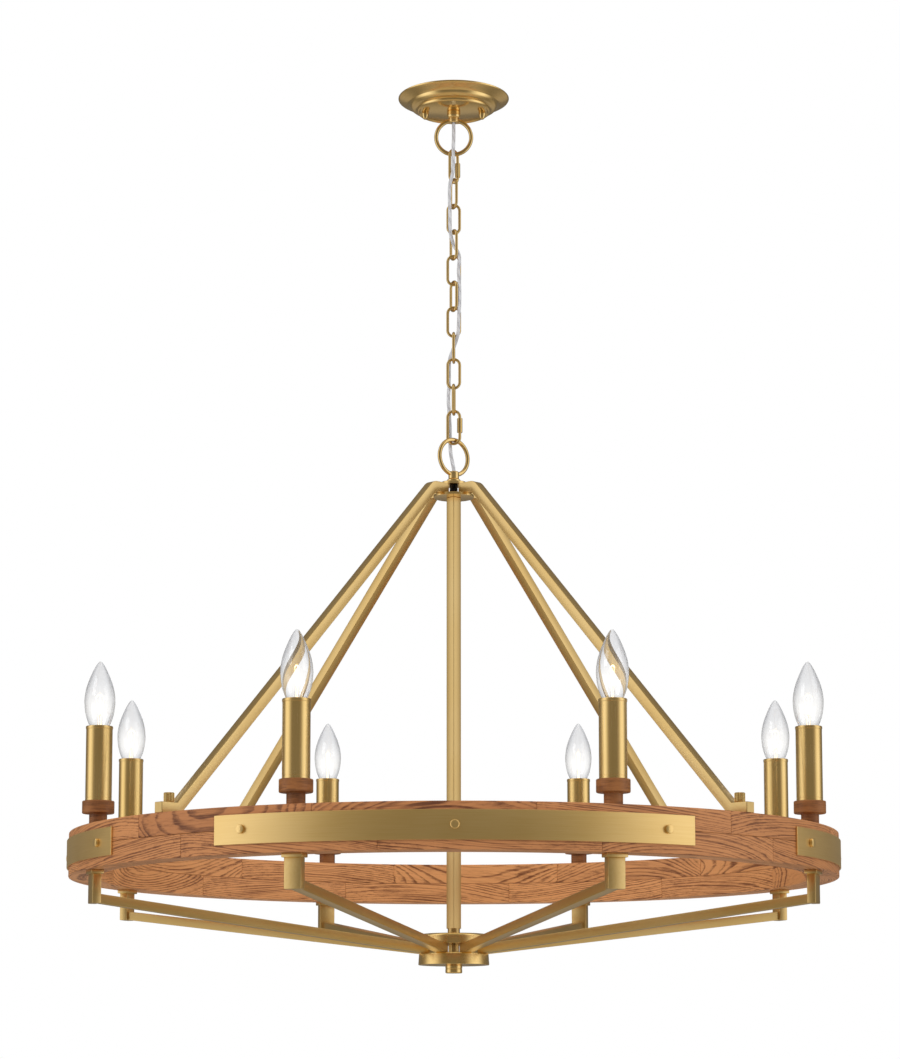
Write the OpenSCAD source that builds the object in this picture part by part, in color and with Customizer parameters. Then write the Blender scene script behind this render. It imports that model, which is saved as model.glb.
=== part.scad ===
// Wagon wheel chandelier: a glued wooden ring on eight lower arms and four
// upper arms, hung from a ceiling canopy by a chain, with eight candle lamps.
// The origin is the centre of the canopy on the ceiling plane, and +Z is up,
// so the whole lamp hangs below zero. The front is towards -Y.

/* [Ring] */
// Outer diameter of the wooden ring
ring_d = 909.6; // [820:0.2:960]
// Height of the wooden ring, both courses together
ring_h = 50.8; // [44:0.2:56]
// Radial width of the wooden ring
ring_w = 35; // [30:0.5:42]
// Staves in each glued course
stave_count = 12; // [8:1:16]
// Thickness of the curved brass straps
strap_t = 2.2; // [1.6:0.1:3]
// Height of the curved brass straps
strap_h = 31.8; // [24:0.2:36]
// Half of the angle that one strap covers, in degrees
strap_half_angle = 34; // [30:1:38]
// Drop from the ceiling to the top of the ring
ring_drop = 913.5; // [905:0.5:925]

/* [Candles] */
// Lamps around the ring
lamp_count = 8; // [8:1:8]
// Diameter of the brass candle sleeve
sleeve_d = 30; // [28:0.5:31]
// Height of the brass candle sleeve
sleeve_h = 85.5; // [80:0.5:95]
// Rim diameter of the turned wooden cup
cup_rim_d = 36.6; // [34:0.2:38]
// Height of the cup's wide rim
cup_rim_h = 14.4; // [12:0.2:17]
// Diameter of the cup's neck
cup_neck_d = 20.4; // [18:0.2:24]
// Height of the cup's neck
cup_neck_h = 13.1; // [10:0.1:16]
// Largest diameter of the bulb's glass
bulb_d = 35; // [34:0.5:36]

/* [Arms] */
// Width of the upper arms' tube, across the arm
arm_w = 12.7; // [12:0.1:13.5]
// Depth of the upper arms' tube
arm_t = 12; // [11:0.1:12.8]
// Width of the lower arms' square tube, across the arm
lower_arm_w = 13; // [12:0.5:14]
// Depth of the lower arms' tube, up and down
lower_arm_t = 10.6; // [10:0.2:11.4]
// Width of the drop tube under each lamp, along the ring
drop_w = 20; // [18:0.5:22]
// Depth of the drop tube, across the ring
drop_t = 10; // [9.6:0.2:11]
// Side of the square centre column
column_side = 12.7; // [12.6:0.1:14]
// Wall of all the square tubes
tube_wall = 1.2; // [1:0.1:1.4]

/* [Chain] */
// Wire of the oval chain links
link_wire = 3.4; // [3:0.1:3.6]
// Outer width of an oval link
link_w = 18; // [17.6:0.1:18.4]
// Length of an oval link between its end wires' centres
link_len = 36; // [35:0.5:37]
// Wire of the two quick links
quick_wire = 3.5; // [3.2:0.1:3.6]
// Outer width of a quick link
quick_w = 18.5; // [18:0.1:19]
// Length of a quick link between its end wires' centres
quick_len = 40.4; // [40:0.2:42]
// Outer diameter of the two round loops
loop_d = 48; // [46:0.5:50]
// Wire of the two round loops
loop_wire = 5; // [4.6:0.1:5.2]

/* [Canopy] */
// Diameter of the canopy
canopy_d = 136; // [130:1:142]
// Depth of the canopy from the ceiling to its flat face
canopy_depth = 17; // [16:0.5:20]
// Distance between the two canopy screws
canopy_screw_spacing = 69.85; // [69.85:0.01:69.85]

/* [Hidden] */

BRASS = "#b8975a";
WOOD = "#a5663c";
BLACK = "#1c1c1c";
STEEL = "#9a9a98";
CLEAR_CORD = "#b9bab4";
PORCELAIN = "#e8e4da";
GLASS = "#eef3f5";

sides = 64;
ring_sides = 360;
running_fit = 0.1;
seat_gap = 0.1;

// The ring
ring_r_out = ring_d / 2;
ring_r_in = ring_r_out - ring_w;
ring_r_mid = (ring_r_out + ring_r_in) / 2;
ring_top_z = -ring_drop;
ring_mid_z = ring_top_z - ring_h / 2;
ring_bottom_z = ring_top_z - ring_h;
glue_line = 0.2;
glue_angle = glue_line / ring_r_mid * 180 / PI;
upper_joint_angle = 10.8;
lower_joint_angle = 19.8;

// Straps and their pins
strap_azimuths = [-90, 0, 90, 180];
pin_turns = [-29.6, 0, 29.6];
pin_head_d = 9.6;
pin_head_h = 4.2;
pin_shank_d = 5;
pin_shank_l = 20;
strap_mid_z = ring_mid_z + 0.6;

// Lamps
first_lamp_angle = -112.5;
lamp_angles = [for (i = [0:lamp_count - 1]) first_lamp_angle + i * 360 / lamp_count];
rod_d = 8;
rod_bore_d = 5.6;
cup_bottom_z = ring_top_z;
cup_neck_top_z = cup_bottom_z + cup_neck_h;
cup_top_z = cup_neck_top_z + cup_rim_h;
sleeve_top_z = cup_top_z + sleeve_h;
sleeve_wall = 1;
sleeve_rim_h = 3.4;
sleeve_rim_out = 0.4;
socket_d = 22;
socket_h = 34;
socket_sink = 11;
socket_top_z = sleeve_top_z - socket_sink;
socket_bottom_z = socket_top_z - socket_h;
socket_bore_d = 12.4;
socket_bore_depth = 16;
base_d = 11.8;
base_h = 15;
bulb_tip_h = 74.4;
bulb_rest_gap = 0.3;

// Upper arms and their hub
hub_disc_top_z = -498;
hub_disc_t = 3;
hub_disc_r = 24.6;
arm_angles = [-135, -45, 45, 135];
arm_inner_r = 14;
arm_bend_r = 37;
arm_foot_bend_r = 429;
arm_bend_round = 9;
foot_stud_r = 438.6;
arm_foot_end_r = ring_r_out - 1.3;
foot_stud_d = 5;
foot_nut_d = 12;
foot_nut_h = 10.8;
foot_flutes = 18;

// Lower arms and their hub
drop_r = ring_r_mid + 2.7;
flange_w = 24.4;
flange_depth = 14.6;
flange_t = 4.6;
drop_bottom_z = ring_bottom_z - 38;
lower_arm_end_r = 33;
lower_arm_bend_r = 46;
lower_arm_axis_z = -1045.4;
lower_arm_outer_z = drop_bottom_z + 5.6;
lower_disc_top_z = lower_arm_axis_z - lower_arm_t / 2;
upper_disc_bottom_z = lower_arm_axis_z + lower_arm_t / 2;
upper_disc_h = 12;
upper_disc_r = 41;
lower_disc_h = 14;
lower_disc_r = 42;
lower_disc_bottom_z = lower_disc_top_z - lower_disc_h;
upper_disc_top_z = upper_disc_bottom_z + upper_disc_h;
finial_d = 20;
finial_h = 9.6;
finial_bottom_z = lower_disc_bottom_z - finial_h;
post_d = 10;
post_bore_d = 6.4;
neck_d = 14.5;
neck_h = 6.4;
column_bottom_z = upper_disc_top_z + neck_h;
column_top_z = hub_disc_top_z - hub_disc_t;

// Canopy and its fixings
canopy_r = canopy_d / 2;
canopy_wall = 1.2;
canopy_rim_h = 3.5;
canopy_face_z = -canopy_depth;
crossbar_l = 106;
crossbar_w = 20;
crossbar_t = 2.4;
outlet_screw_spacing = 88.9;
outlet_slot_l = 10;
outlet_slot_w = 4.6;
stud_d = 4;
cap_nut_d = 8.4;
cap_nut_h = 6.5;
cap_ball_d = 7;
nipple_d = 10;
nipple_bore_d = 6.4;
top_nut_d = 16.4;
top_nut_h = 7.5;
collar_d = 12.8;
top_collar_h = 6.8;
collar_bore_d = 6;
top_collar_bottom_z = canopy_face_z - top_nut_h - top_collar_h;

// Chain: every piece hangs from the wire of the piece above
loop_r = (loop_d - loop_wire) / 2;
link_r = (link_w - link_wire) / 2;
quick_r = (quick_w - quick_wire) / 2;
link_gap = 0.3;
turned_gap = 0.5;
loop_sink = 3;
top_loop_z = top_collar_bottom_z + loop_sink - loop_r;
quick_1_top_z = top_loop_z - loop_r + (loop_wire + quick_wire) / 2 + turned_gap;
quick_1_bottom_z = quick_1_top_z - quick_len;
first_link_top_z = quick_1_bottom_z + (quick_wire + link_wire) / 2 + link_gap;
link_pitch = link_len - link_wire - link_gap;
link_count = 9;
last_link_bottom_z = first_link_top_z - (link_count - 1) * link_pitch - link_len;
quick_2_top_z = last_link_bottom_z + (quick_wire + link_wire) / 2 + link_gap;
quick_2_bottom_z = quick_2_top_z - quick_len;
bottom_loop_top_z = quick_2_bottom_z + (loop_wire + quick_wire) / 2 + turned_gap;
bottom_loop_z = bottom_loop_top_z - loop_r;
bottom_collar_h = 9.5;
bottom_collar_top_z = bottom_loop_z - loop_r + 3.6;
bottom_collar_bottom_z = bottom_collar_top_z - bottom_collar_h;

// Turn of each piece about the vertical: 0 faces the front
quick_1_turn = 50;
link_turns = [-62, 8, -62, 0, -62, 2, 88, 0, 84];
quick_2_turn = -12;
bottom_loop_turn = 38;
sleeve_nut_flats = 6.6;
sleeve_nut_l = 17.5;
thread_gap = 5;
// Middle of the sleeve nut and of the gap it closes, from the link's middle
quick_1_nut_z = -3.2;
quick_1_gap_z = -7;
quick_2_nut_z = 2.1;
quick_2_gap_z = 6.6;

// Supply cord: its route is woven down the chain
cord_d = 4.2;
cord_sides = 8;
cord_steps = 2;
cord_route = [
    [0, 0, -5], [0, 0, -20], [0, 0, -36], [0, -3, -50], [-0.4, -6.6, -64],
    [-0.4, -7, -78], [-0.6, -7.4, -92], [-2.4, -9, -103], [-4.6, -7.8, -112],
    [-5, -5.6, -124], [-4.8, -5, -140], [-4.6, -5, -158], [-4, -4.8, -172],
    [0, 0, -186], [5, -1.6, -195], [6.9, -4.3, -204], [6, -4.6, -218],
    [6.6, -4.5, -230], [7.1, -4.4, -242], [7.1, -4.4, -260], [6.4, -4.7, -272],
    [6, -4.8, -288], [5, -4.8, -300], [0, 0, -315], [-5, 4.7, -329],
    [-5.5, 5, -345], [-5.8, 5, -362], [-6.4, 5, -379], [-5.4, 5.3, -396],
    [-4.6, 5.5, -413], [-4.4, 5.5, -431], [-3.4, 4.4, -447], [0, 0, -466],
    [0, 0, -478], [0, 0, -500], [0, 0, -760], [0, 0, -1016]
];

// ---------------------------------------------------------------- helpers

function unit(v) = v / norm(v);
function turned_left(v) = [-v.y, v.x];

// Corner i of a bent bar's outline, d to the left of its path
function side_point(path, i, d) =
    let (
        last = len(path) - 1,
        a = unit(i > 0 ? path[i] - path[i - 1] : path[1] - path[0]),
        b = unit(i < last ? path[i + 1] - path[i] : path[last] - path[last - 1]),
        m = unit(turned_left(a) + turned_left(b))
    )
    path[i] + m * d / (m * turned_left(a));

function bent_outline(path, t) = concat(
    [for (i = [0:len(path) - 1]) side_point(path, i, t / 2)],
    [for (i = [len(path) - 1:-1:0]) side_point(path, i, -t / 2)]
);

// Points of an arc in a plane, from angle a to angle b
function arc(x, z, r, a, b, n) =
    [for (i = [0:n]) [x + r * cos(a + (b - a) * i / n), z + r * sin(a + (b - a) * i / n)]];

// The bend at corner b of a path from a to c, as points on an arc of radius r
function rounded_bend(a, b, c, r, n = 4) =
    let (
        into = unit(b - a),
        out = unit(c - b),
        turn = acos(into * out),
        reach = r * tan(turn / 2)
    )
    [for (i = [0:n])
        let (
            f = i / n,
            p = b - into * reach,
            q = b + out * reach
        )
        (1 - f) * (1 - f) * p + 2 * f * (1 - f) * b + f * f * q];

// A bar bent in the radial plane, w wide across it
module bent_bar(path, t, w) {
    rotate([90, 0, 0])
        linear_extrude(w, center = true)
            polygon(bent_outline(path, t));
}

module around(angles) {
    for (a = angles)
        rotate([0, 0, a])
            children();
}

module upright(d, z_low, z_high, fn = sides) {
    translate([0, 0, z_low])
        cylinder(d = d, h = z_high - z_low, $fn = fn);
}

// A turned piece from its outline of [radius, height] points
module turned(points, fn = sides) {
    rotate_extrude($fn = fn)
        polygon(points);
}

module bar_along_y(d, length) {
    rotate([90, 0, 0])
        cylinder(d = d, h = length, center = true, $fn = sides);
}

// ---------------------------------------------------------------- canopy

function canopy_outside() = concat(
    [[canopy_r, 0], [canopy_r, -canopy_rim_h + 1], [canopy_r - 1, -canopy_rim_h]],
    [[canopy_r * 0.82, -canopy_rim_h]],
    arc(canopy_r * 0.70, -canopy_rim_h - 1.5, canopy_r * 0.112, 0, -80, 10),
    [[canopy_r * 0.675, canopy_face_z + 4], [canopy_r * 0.672, canopy_face_z + 2.6]],
    arc(canopy_r * 0.633, canopy_face_z + 1.6, 2.6, 20, -150, 10),
    [[canopy_r * 0.58, canopy_face_z]]
);

module canopy_profile() {
    outside = canopy_outside();
    centre_r = nipple_d / 2 + running_fit;
    inside = [for (p = outside) [p.x - canopy_wall, min(p.y + canopy_wall, 0)]];
    polygon(concat(
        outside,
        [[centre_r, canopy_face_z], [centre_r, canopy_face_z + canopy_wall]],
        [for (i = [len(inside) - 1:-1:0]) inside[i]]
    ));
}

module canopy() {
    color(BRASS)
        difference() {
            rotate_extrude($fn = 120)
                canopy_profile();
            for (s = [-1, 1])
                translate([s * canopy_screw_spacing / 2, 0, canopy_face_z])
                    cylinder(d = stud_d + 0.6, h = 6, center = true, $fn = sides);
        }
}

// Slot with true round ends for the outlet box's screws
module outlet_cut() {
    straight = outlet_slot_l - outlet_slot_w;
    cube([straight, outlet_slot_w, 3 * crossbar_t], center = true);
    for (s = [-1, 1])
        translate([s * straight / 2, 0, 0])
            cylinder(d = outlet_slot_w, h = 3 * crossbar_t, center = true, $fn = sides);
}

module ceiling_crossbar() {
    color(STEEL)
        difference() {
            translate([0, 0, -crossbar_t / 2])
                cube([crossbar_l, crossbar_w, crossbar_t], center = true);
            for (s = [-1, 1]) {
                translate([s * outlet_screw_spacing / 2, 0, -crossbar_t / 2])
                    outlet_cut();
                translate([s * canopy_screw_spacing / 2, 0, -crossbar_t / 2])
                    cylinder(d = stud_d, h = 3 * crossbar_t, center = true, $fn = sides);
            }
            upright(nipple_d, -2 * crossbar_t, crossbar_t);
        }
}

module canopy_studs() {
    color(STEEL)
        for (s = [-1, 1])
            translate([s * canopy_screw_spacing / 2, 0, 0])
                upright(stud_d, canopy_face_z - cap_nut_h + 1.5, 0);
}

module canopy_cap_nuts() {
    ball_r = cap_ball_d / 2;
    nut_bottom_z = canopy_face_z - cap_nut_h;
    color(BRASS)
        for (s = [-1, 1])
            translate([s * canopy_screw_spacing / 2, 0, 0])
                difference() {
                    turned(concat(
                        [[0, canopy_face_z], [cap_nut_d / 2, canopy_face_z]],
                        [[cap_nut_d / 2, nut_bottom_z + 0.8], [cap_nut_d / 2 - 0.8, nut_bottom_z]],
                        arc(0, nut_bottom_z, ball_r, 0, -90, 10)
                    ));
                    upright(stud_d, canopy_face_z - cap_nut_h + 1.5, canopy_face_z + 1);
                }
}

module top_nipple() {
    color(STEEL)
        difference() {
            upright(nipple_d, canopy_face_z - top_nut_h, -0.5);
            upright(nipple_bore_d, canopy_face_z - 2 * top_nut_h, 1);
        }
}

// ---------------------------------------------------------------- loops and collars

function loop_half_opening() = asin((collar_d / 2 - 1.6) / loop_r);

// Round loop of wire, open where its two ends sit in the collar.
// at_top puts the opening at the top of the loop.
module wire_loop(at_top, extra = 0) {
    open = loop_half_opening();
    start = (at_top ? 90 : -90) + open;
    rotate([90, 0, 0])
        rotate_extrude(angle = 360 - 2 * open, start = start, $fn = 96)
            translate([loop_r, 0])
                circle(d = loop_wire + extra, $fn = 32);
}

module top_loop() {
    color(BRASS)
        translate([0, 0, top_loop_z])
            wire_loop(true);
}

module top_collar() {
    color(BRASS)
        difference() {
            turned([
                [collar_bore_d / 2, canopy_face_z - top_nut_h],
                [nipple_d / 2, canopy_face_z - top_nut_h],
                [nipple_d / 2, canopy_face_z],
                [top_nut_d / 2 - 0.8, canopy_face_z],
                [top_nut_d / 2, canopy_face_z - 0.8],
                [top_nut_d / 2, canopy_face_z - top_nut_h + 1.2],
                [top_nut_d / 2 - 1, canopy_face_z - top_nut_h],
                [collar_d / 2, canopy_face_z - top_nut_h - 0.4],
                [collar_d / 2, top_collar_bottom_z + 0.8],
                [collar_d / 2 - 0.8, top_collar_bottom_z],
                [collar_bore_d / 2, top_collar_bottom_z]
            ]);
            translate([0, 0, top_loop_z])
                wire_loop(true, 0.1);
        }
}

module bottom_loop() {
    color(BRASS)
        translate([0, 0, bottom_loop_z])
            rotate([0, 0, bottom_loop_turn])
                wire_loop(false);
}

module bottom_collar() {
    color(BRASS)
        difference() {
            turned([
                [collar_bore_d / 2, bottom_collar_top_z],
                [collar_d / 2 - 1, bottom_collar_top_z],
                [collar_d / 2, bottom_collar_top_z - 1],
                [collar_d / 2, bottom_collar_bottom_z + 1],
                [collar_d / 2 - 1, bottom_collar_bottom_z],
                [nipple_d / 2, bottom_collar_bottom_z],
                [nipple_d / 2, bottom_collar_bottom_z + 3],
                [collar_bore_d / 2, bottom_collar_bottom_z + 3]
            ]);
            translate([0, 0, bottom_loop_z])
                rotate([0, 0, bottom_loop_turn])
                    wire_loop(false, 0.1);
        }
}

// ---------------------------------------------------------------- chain

// Half ring of wire in the X-Z plane, up or down
module wire_bow(r, wire, up) {
    rotate([90, 0, 0])
        rotate_extrude(angle = 180, start = up ? 0 : 180, $fn = 64)
            translate([r, 0])
                circle(d = wire, $fn = 24);
}

// Oval of wire, length measured between the centres of its end wires
module wire_oval(r, length, wire) {
    reach = length / 2 - r;
    translate([0, 0, reach])
        wire_bow(r, wire, true);
    translate([0, 0, -reach])
        wire_bow(r, wire, false);
    for (s = [-1, 1])
        translate([s * r, 0, -reach])
            cylinder(d = wire, h = 2 * reach, $fn = 24);
}

function link_z(i) = first_link_top_z - i * link_pitch - link_len / 2;

module chain_link(i) {
    color(BRASS)
        translate([0, 0, link_z(i)])
            rotate([0, 0, link_turns[i]])
                wire_oval(link_r, link_len, link_wire);
}

// Quick link: the leg under its sleeve nut is cut, so the nut closes it
module quick_link(mid_z, turn, gap_z) {
    color(BRASS)
        translate([0, 0, mid_z])
            rotate([0, 0, turn])
                difference() {
                    wire_oval(quick_r, quick_len, quick_wire);
                    translate([quick_r, 0, gap_z])
                        cube([2 * quick_wire, 2 * quick_wire, thread_gap], center = true);
                }
}

// Six-sided sleeve nut, with eased ends and a true bore
module quick_link_sleeve(mid_z, turn, nut_z) {
    corner_d = sleeve_nut_flats / cos(30);
    color(BRASS)
        translate([0, 0, mid_z])
            rotate([0, 0, turn])
                translate([quick_r, 0, nut_z - sleeve_nut_l / 2])
                    difference() {
                        intersection() {
                            cylinder(d = corner_d, h = sleeve_nut_l, $fn = 6);
                            turned([
                                [0, 0], [corner_d / 2 - 0.9, 0], [corner_d / 2, 0.9],
                                [corner_d / 2, sleeve_nut_l - 0.9],
                                [corner_d / 2 - 0.9, sleeve_nut_l], [0, sleeve_nut_l]
                            ]);
                        }
                        translate([0, 0, -1])
                            cylinder(d = quick_wire + running_fit, h = sleeve_nut_l + 2,
                                     $fn = sides);
                    }
}

// ---------------------------------------------------------------- cord

// Point at fraction f between route points i and i + 1, on a smooth curve
function route_point(i, f) =
    let (
        last = len(cord_route) - 1,
        p0 = cord_route[max(i - 1, 0)],
        p1 = cord_route[i],
        p2 = cord_route[min(i + 1, last)],
        p3 = cord_route[min(i + 2, last)]
    )
    0.5 * (2 * p1 + (p2 - p0) * f + (2 * p0 - 5 * p1 + 4 * p2 - p3) * f * f
        + (3 * p1 - p0 - 3 * p2 + p3) * f * f * f);

function cord_points() =
    let (last = len(cord_route) - 1)
    concat(
        [for (i = [0:last - 1]) for (s = [0:cord_steps - 1]) route_point(i, s / cord_steps)],
        [cord_route[last]]
    );

function cord_ring(points, k) =
    let (
        last = len(points) - 1,
        along = unit(points[min(k + 1, last)] - points[max(k - 1, 0)]),
        across = unit(cross(along, [0, 1, 0])),
        third = cross(along, across)
    )
    [for (s = [0:cord_sides - 1])
        points[k] + cord_d / 2 * (across * cos(s * 360 / cord_sides)
            + third * sin(s * 360 / cord_sides))];

module supply_cord() {
    points = cord_points();
    rings = len(points);
    n = cord_sides;
    color(CLEAR_CORD)
        polyhedron(
            points = [for (k = [0:rings - 1]) each cord_ring(points, k)],
            faces = concat(
                [[for (s = [0:n - 1]) s]],
                [for (k = [0:rings - 2]) for (s = [0:n - 1])
                    [k * n + s, (k + 1) * n + s, (k + 1) * n + (s + 1) % n, k * n + (s + 1) % n]],
                [[for (s = [n - 1:-1:0]) (rings - 1) * n + s]]
            )
        );
}

// ---------------------------------------------------------------- upper frame

module hub_nipple() {
    color(BLACK)
        difference() {
            upright(nipple_d, column_top_z - 12, bottom_collar_bottom_z + 3);
            upright(nipple_bore_d, column_top_z - 20, bottom_collar_top_z);
        }
}

module top_hub_disc() {
    color(BRASS)
        turned([
            [nipple_d / 2, hub_disc_top_z],
            [hub_disc_r - 0.5, hub_disc_top_z],
            [hub_disc_r, hub_disc_top_z - 0.5],
            [hub_disc_r, column_top_z + 0.5],
            [hub_disc_r - 0.5, column_top_z],
            [nipple_d / 2, column_top_z]
        ]);
}

module upper_arm(angle) {
    high_z = hub_disc_top_z + arm_t / 2;
    low_z = ring_top_z + arm_t / 2;
    bends = concat(
        rounded_bend([arm_inner_r, high_z], [arm_bend_r, high_z],
                     [arm_foot_bend_r, low_z], arm_bend_round),
        [[arm_foot_bend_r, low_z]]
    );
    path = concat([[arm_inner_r, high_z]], bends, [[arm_foot_end_r, low_z]]);
    bore = concat([[arm_inner_r + tube_wall, high_z]], bends,
                  [[arm_foot_end_r - tube_wall, low_z]]);
    color(BRASS)
        rotate([0, 0, angle])
            difference() {
                bent_bar(path, arm_t, arm_w);
                bent_bar(bore, arm_t - 2 * tube_wall, arm_w - 2 * tube_wall);
                translate([foot_stud_r, 0, 0])
                    upright(foot_stud_d, ring_top_z - 1, ring_top_z + arm_t + 1);
            }
}

module foot_nuts() {
    top_z = ring_top_z + arm_t;
    color(BRASS)
        around(arm_angles)
            translate([foot_stud_r, 0, 0]) {
                difference() {
                    turned([
                        [0, top_z], [foot_nut_d / 2 - 0.8, top_z], [foot_nut_d / 2, top_z + 0.8],
                        [foot_nut_d / 2, top_z + foot_nut_h - 0.6],
                        [foot_nut_d / 2 - 0.6, top_z + foot_nut_h],
                        [0, top_z + foot_nut_h]
                    ]);
                    for (i = [0:foot_flutes - 1])
                        rotate([0, 0, i * 360 / foot_flutes])
                            translate([foot_nut_d / 2 + 0.35, 0, top_z - 1])
                                cylinder(d = 1.5, h = foot_nut_h + 2, $fn = 16);
                }
                upright(foot_stud_d, ring_top_z - 25, top_z);
            }
}

module centre_column() {
    bore_side = column_side - 2 * tube_wall;
    color(BRASS)
        difference() {
            union() {
                rotate([0, 0, 45])
                    translate([-column_side / 2, -column_side / 2, column_bottom_z])
                        cube([column_side, column_side, column_top_z - column_bottom_z]);
                upright(neck_d, upper_disc_top_z, column_bottom_z);
            }
            rotate([0, 0, 45])
                translate([-bore_side / 2, -bore_side / 2, column_bottom_z + tube_wall])
                    cube([bore_side, bore_side, column_top_z - column_bottom_z]);
            upright(post_d, upper_disc_top_z - 1, column_bottom_z + 2);
        }
}

// ---------------------------------------------------------------- lower hub

module lower_hub_top_disc() {
    round_r = 4;
    color(BRASS)
        turned(concat(
            [[post_d / 2, upper_disc_bottom_z], [upper_disc_r, upper_disc_bottom_z]],
            arc(upper_disc_r - round_r, upper_disc_top_z - round_r, round_r, 0, 90, 8),
            [[post_d / 2, upper_disc_top_z]]
        ), 96);
}

module lower_hub_bottom_disc() {
    color(BRASS)
        turned([
            [post_d / 2, lower_disc_bottom_z],
            [lower_disc_r - 0.4, lower_disc_bottom_z],
            [lower_disc_r, lower_disc_bottom_z + 0.4],
            [lower_disc_r - 0.6, lower_disc_top_z - 1.5],
            [lower_disc_r - 2, lower_disc_top_z],
            [post_d / 2, lower_disc_top_z]
        ], 96);
}

module lower_hub_post() {
    color(BLACK)
        difference() {
            upright(post_d, lower_disc_bottom_z - 6, column_bottom_z + 2);
            upright(post_bore_d, lower_disc_bottom_z - 8, column_bottom_z + 3);
        }
}

module bottom_finial() {
    top_z = lower_disc_bottom_z;
    color(BRASS)
        difference() {
            turned([
                [0, top_z], [finial_d / 2 - 0.6, top_z], [finial_d / 2, top_z - 0.6],
                [finial_d / 2, finial_bottom_z + 0.8], [finial_d / 2 - 0.8, finial_bottom_z],
                [0, finial_bottom_z]
            ]);
            upright(post_d, lower_disc_bottom_z - 6, top_z + 1);
        }
}

// ---------------------------------------------------------------- lower arms

module drop_box(w, t, z_low, z_high) {
    translate([drop_r - t / 2, -w / 2, z_low])
        cube([t, w, z_high - z_low]);
}

module lower_arm(angle) {
    flange_bottom_z = ring_bottom_z - flange_t;
    start_r = drop_r - drop_t / 2 + tube_wall / 2;
    path = [[start_r, lower_arm_outer_z], [lower_arm_bend_r, lower_arm_axis_z],
            [lower_arm_end_r, lower_arm_axis_z]];
    bore = [[start_r + tube_wall, lower_arm_outer_z], [lower_arm_bend_r, lower_arm_axis_z],
            [lower_arm_end_r - 1, lower_arm_axis_z]];
    color(BRASS)
        rotate([0, 0, angle])
            difference() {
                union() {
                    drop_box(flange_w, flange_depth, flange_bottom_z, ring_bottom_z);
                    drop_box(drop_w, drop_t, drop_bottom_z, flange_bottom_z + 0.01);
                    bent_bar(path, lower_arm_t, lower_arm_w);
                }
                drop_box(drop_w - 2 * tube_wall, drop_t - 2 * tube_wall,
                         drop_bottom_z + tube_wall, flange_bottom_z);
                bent_bar(bore, lower_arm_t - 2 * tube_wall, lower_arm_w - 2 * tube_wall);
                translate([ring_r_mid, 0, 0])
                    upright(rod_d, flange_bottom_z - 1, ring_bottom_z + 1);
            }
}

// ---------------------------------------------------------------- ring

module stave(z_low, z_high) {
    span = 360 / stave_count - glue_angle;
    rotate([0, 0, glue_angle / 2])
        rotate_extrude(angle = span, $fn = ring_sides)
            polygon([
                [ring_r_in, z_low], [ring_r_out, z_low],
                [ring_r_out, z_high], [ring_r_in, z_high]
            ]);
}

module ring_holes() {
    around(lamp_angles)
        translate([ring_r_mid, 0, 0])
            upright(rod_d + 0.4, ring_bottom_z - 1, ring_top_z + 1);
    around(arm_angles)
        translate([foot_stud_r, 0, 0])
            upright(foot_stud_d, ring_top_z - 25, ring_top_z + 1);
    around(strap_azimuths)
        around(pin_turns)
            translate([ring_r_out - pin_shank_l + strap_t, 0, strap_mid_z])
                rotate([0, 90, 0])
                    cylinder(d = pin_shank_d, h = pin_shank_l + 5, $fn = sides);
}

module ring_course(z_low, z_high, joint_angle) {
    color(WOOD)
        difference() {
            for (i = [0:stave_count - 1])
                rotate([0, 0, -90 + joint_angle + i * 360 / stave_count])
                    stave(z_low, z_high);
            ring_holes();
        }
}

module ring_upper_course() {
    ring_course(ring_mid_z + glue_line / 2, ring_top_z, upper_joint_angle);
}

module ring_lower_course() {
    ring_course(ring_bottom_z, ring_mid_z - glue_line / 2, lower_joint_angle);
}

module ring_straps() {
    r_in = ring_r_out + seat_gap;
    r_out = ring_r_out + strap_t;
    color(BRASS)
        difference() {
            around(strap_azimuths)
                rotate([0, 0, -strap_half_angle])
                    rotate_extrude(angle = 2 * strap_half_angle, $fn = ring_sides)
                        polygon([
                            [r_in, strap_mid_z - strap_h / 2], [r_out, strap_mid_z - strap_h / 2],
                            [r_out, strap_mid_z + strap_h / 2], [r_in, strap_mid_z + strap_h / 2]
                        ]);
            around(strap_azimuths)
                around(pin_turns)
                    translate([ring_r_out - 5, 0, strap_mid_z])
                        rotate([0, 90, 0])
                            cylinder(d = pin_shank_d, h = 20, $fn = sides);
        }
}

module strap_pins() {
    head_r = pin_head_d / 2;
    color(BRASS)
        around(strap_azimuths)
            around(pin_turns)
                translate([ring_r_out + strap_t, 0, strap_mid_z])
                    rotate([0, 90, 0])
                        turned([
                            [0, -pin_shank_l], [pin_shank_d / 2, -pin_shank_l],
                            [pin_shank_d / 2, 0.1], [head_r, 0.1],
                            [head_r, pin_head_h - 0.7], [head_r - 0.7, pin_head_h],
                            [0, pin_head_h]
                        ]);
}

// ---------------------------------------------------------------- lamps

module candle_rods() {
    color(STEEL)
        around(lamp_angles)
            translate([ring_r_mid, 0, 0])
                difference() {
                    upright(rod_d, ring_bottom_z - flange_t, socket_bottom_z);
                    upright(rod_bore_d, ring_bottom_z - 2 * flange_t, socket_bottom_z + 1);
                }
}

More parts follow.
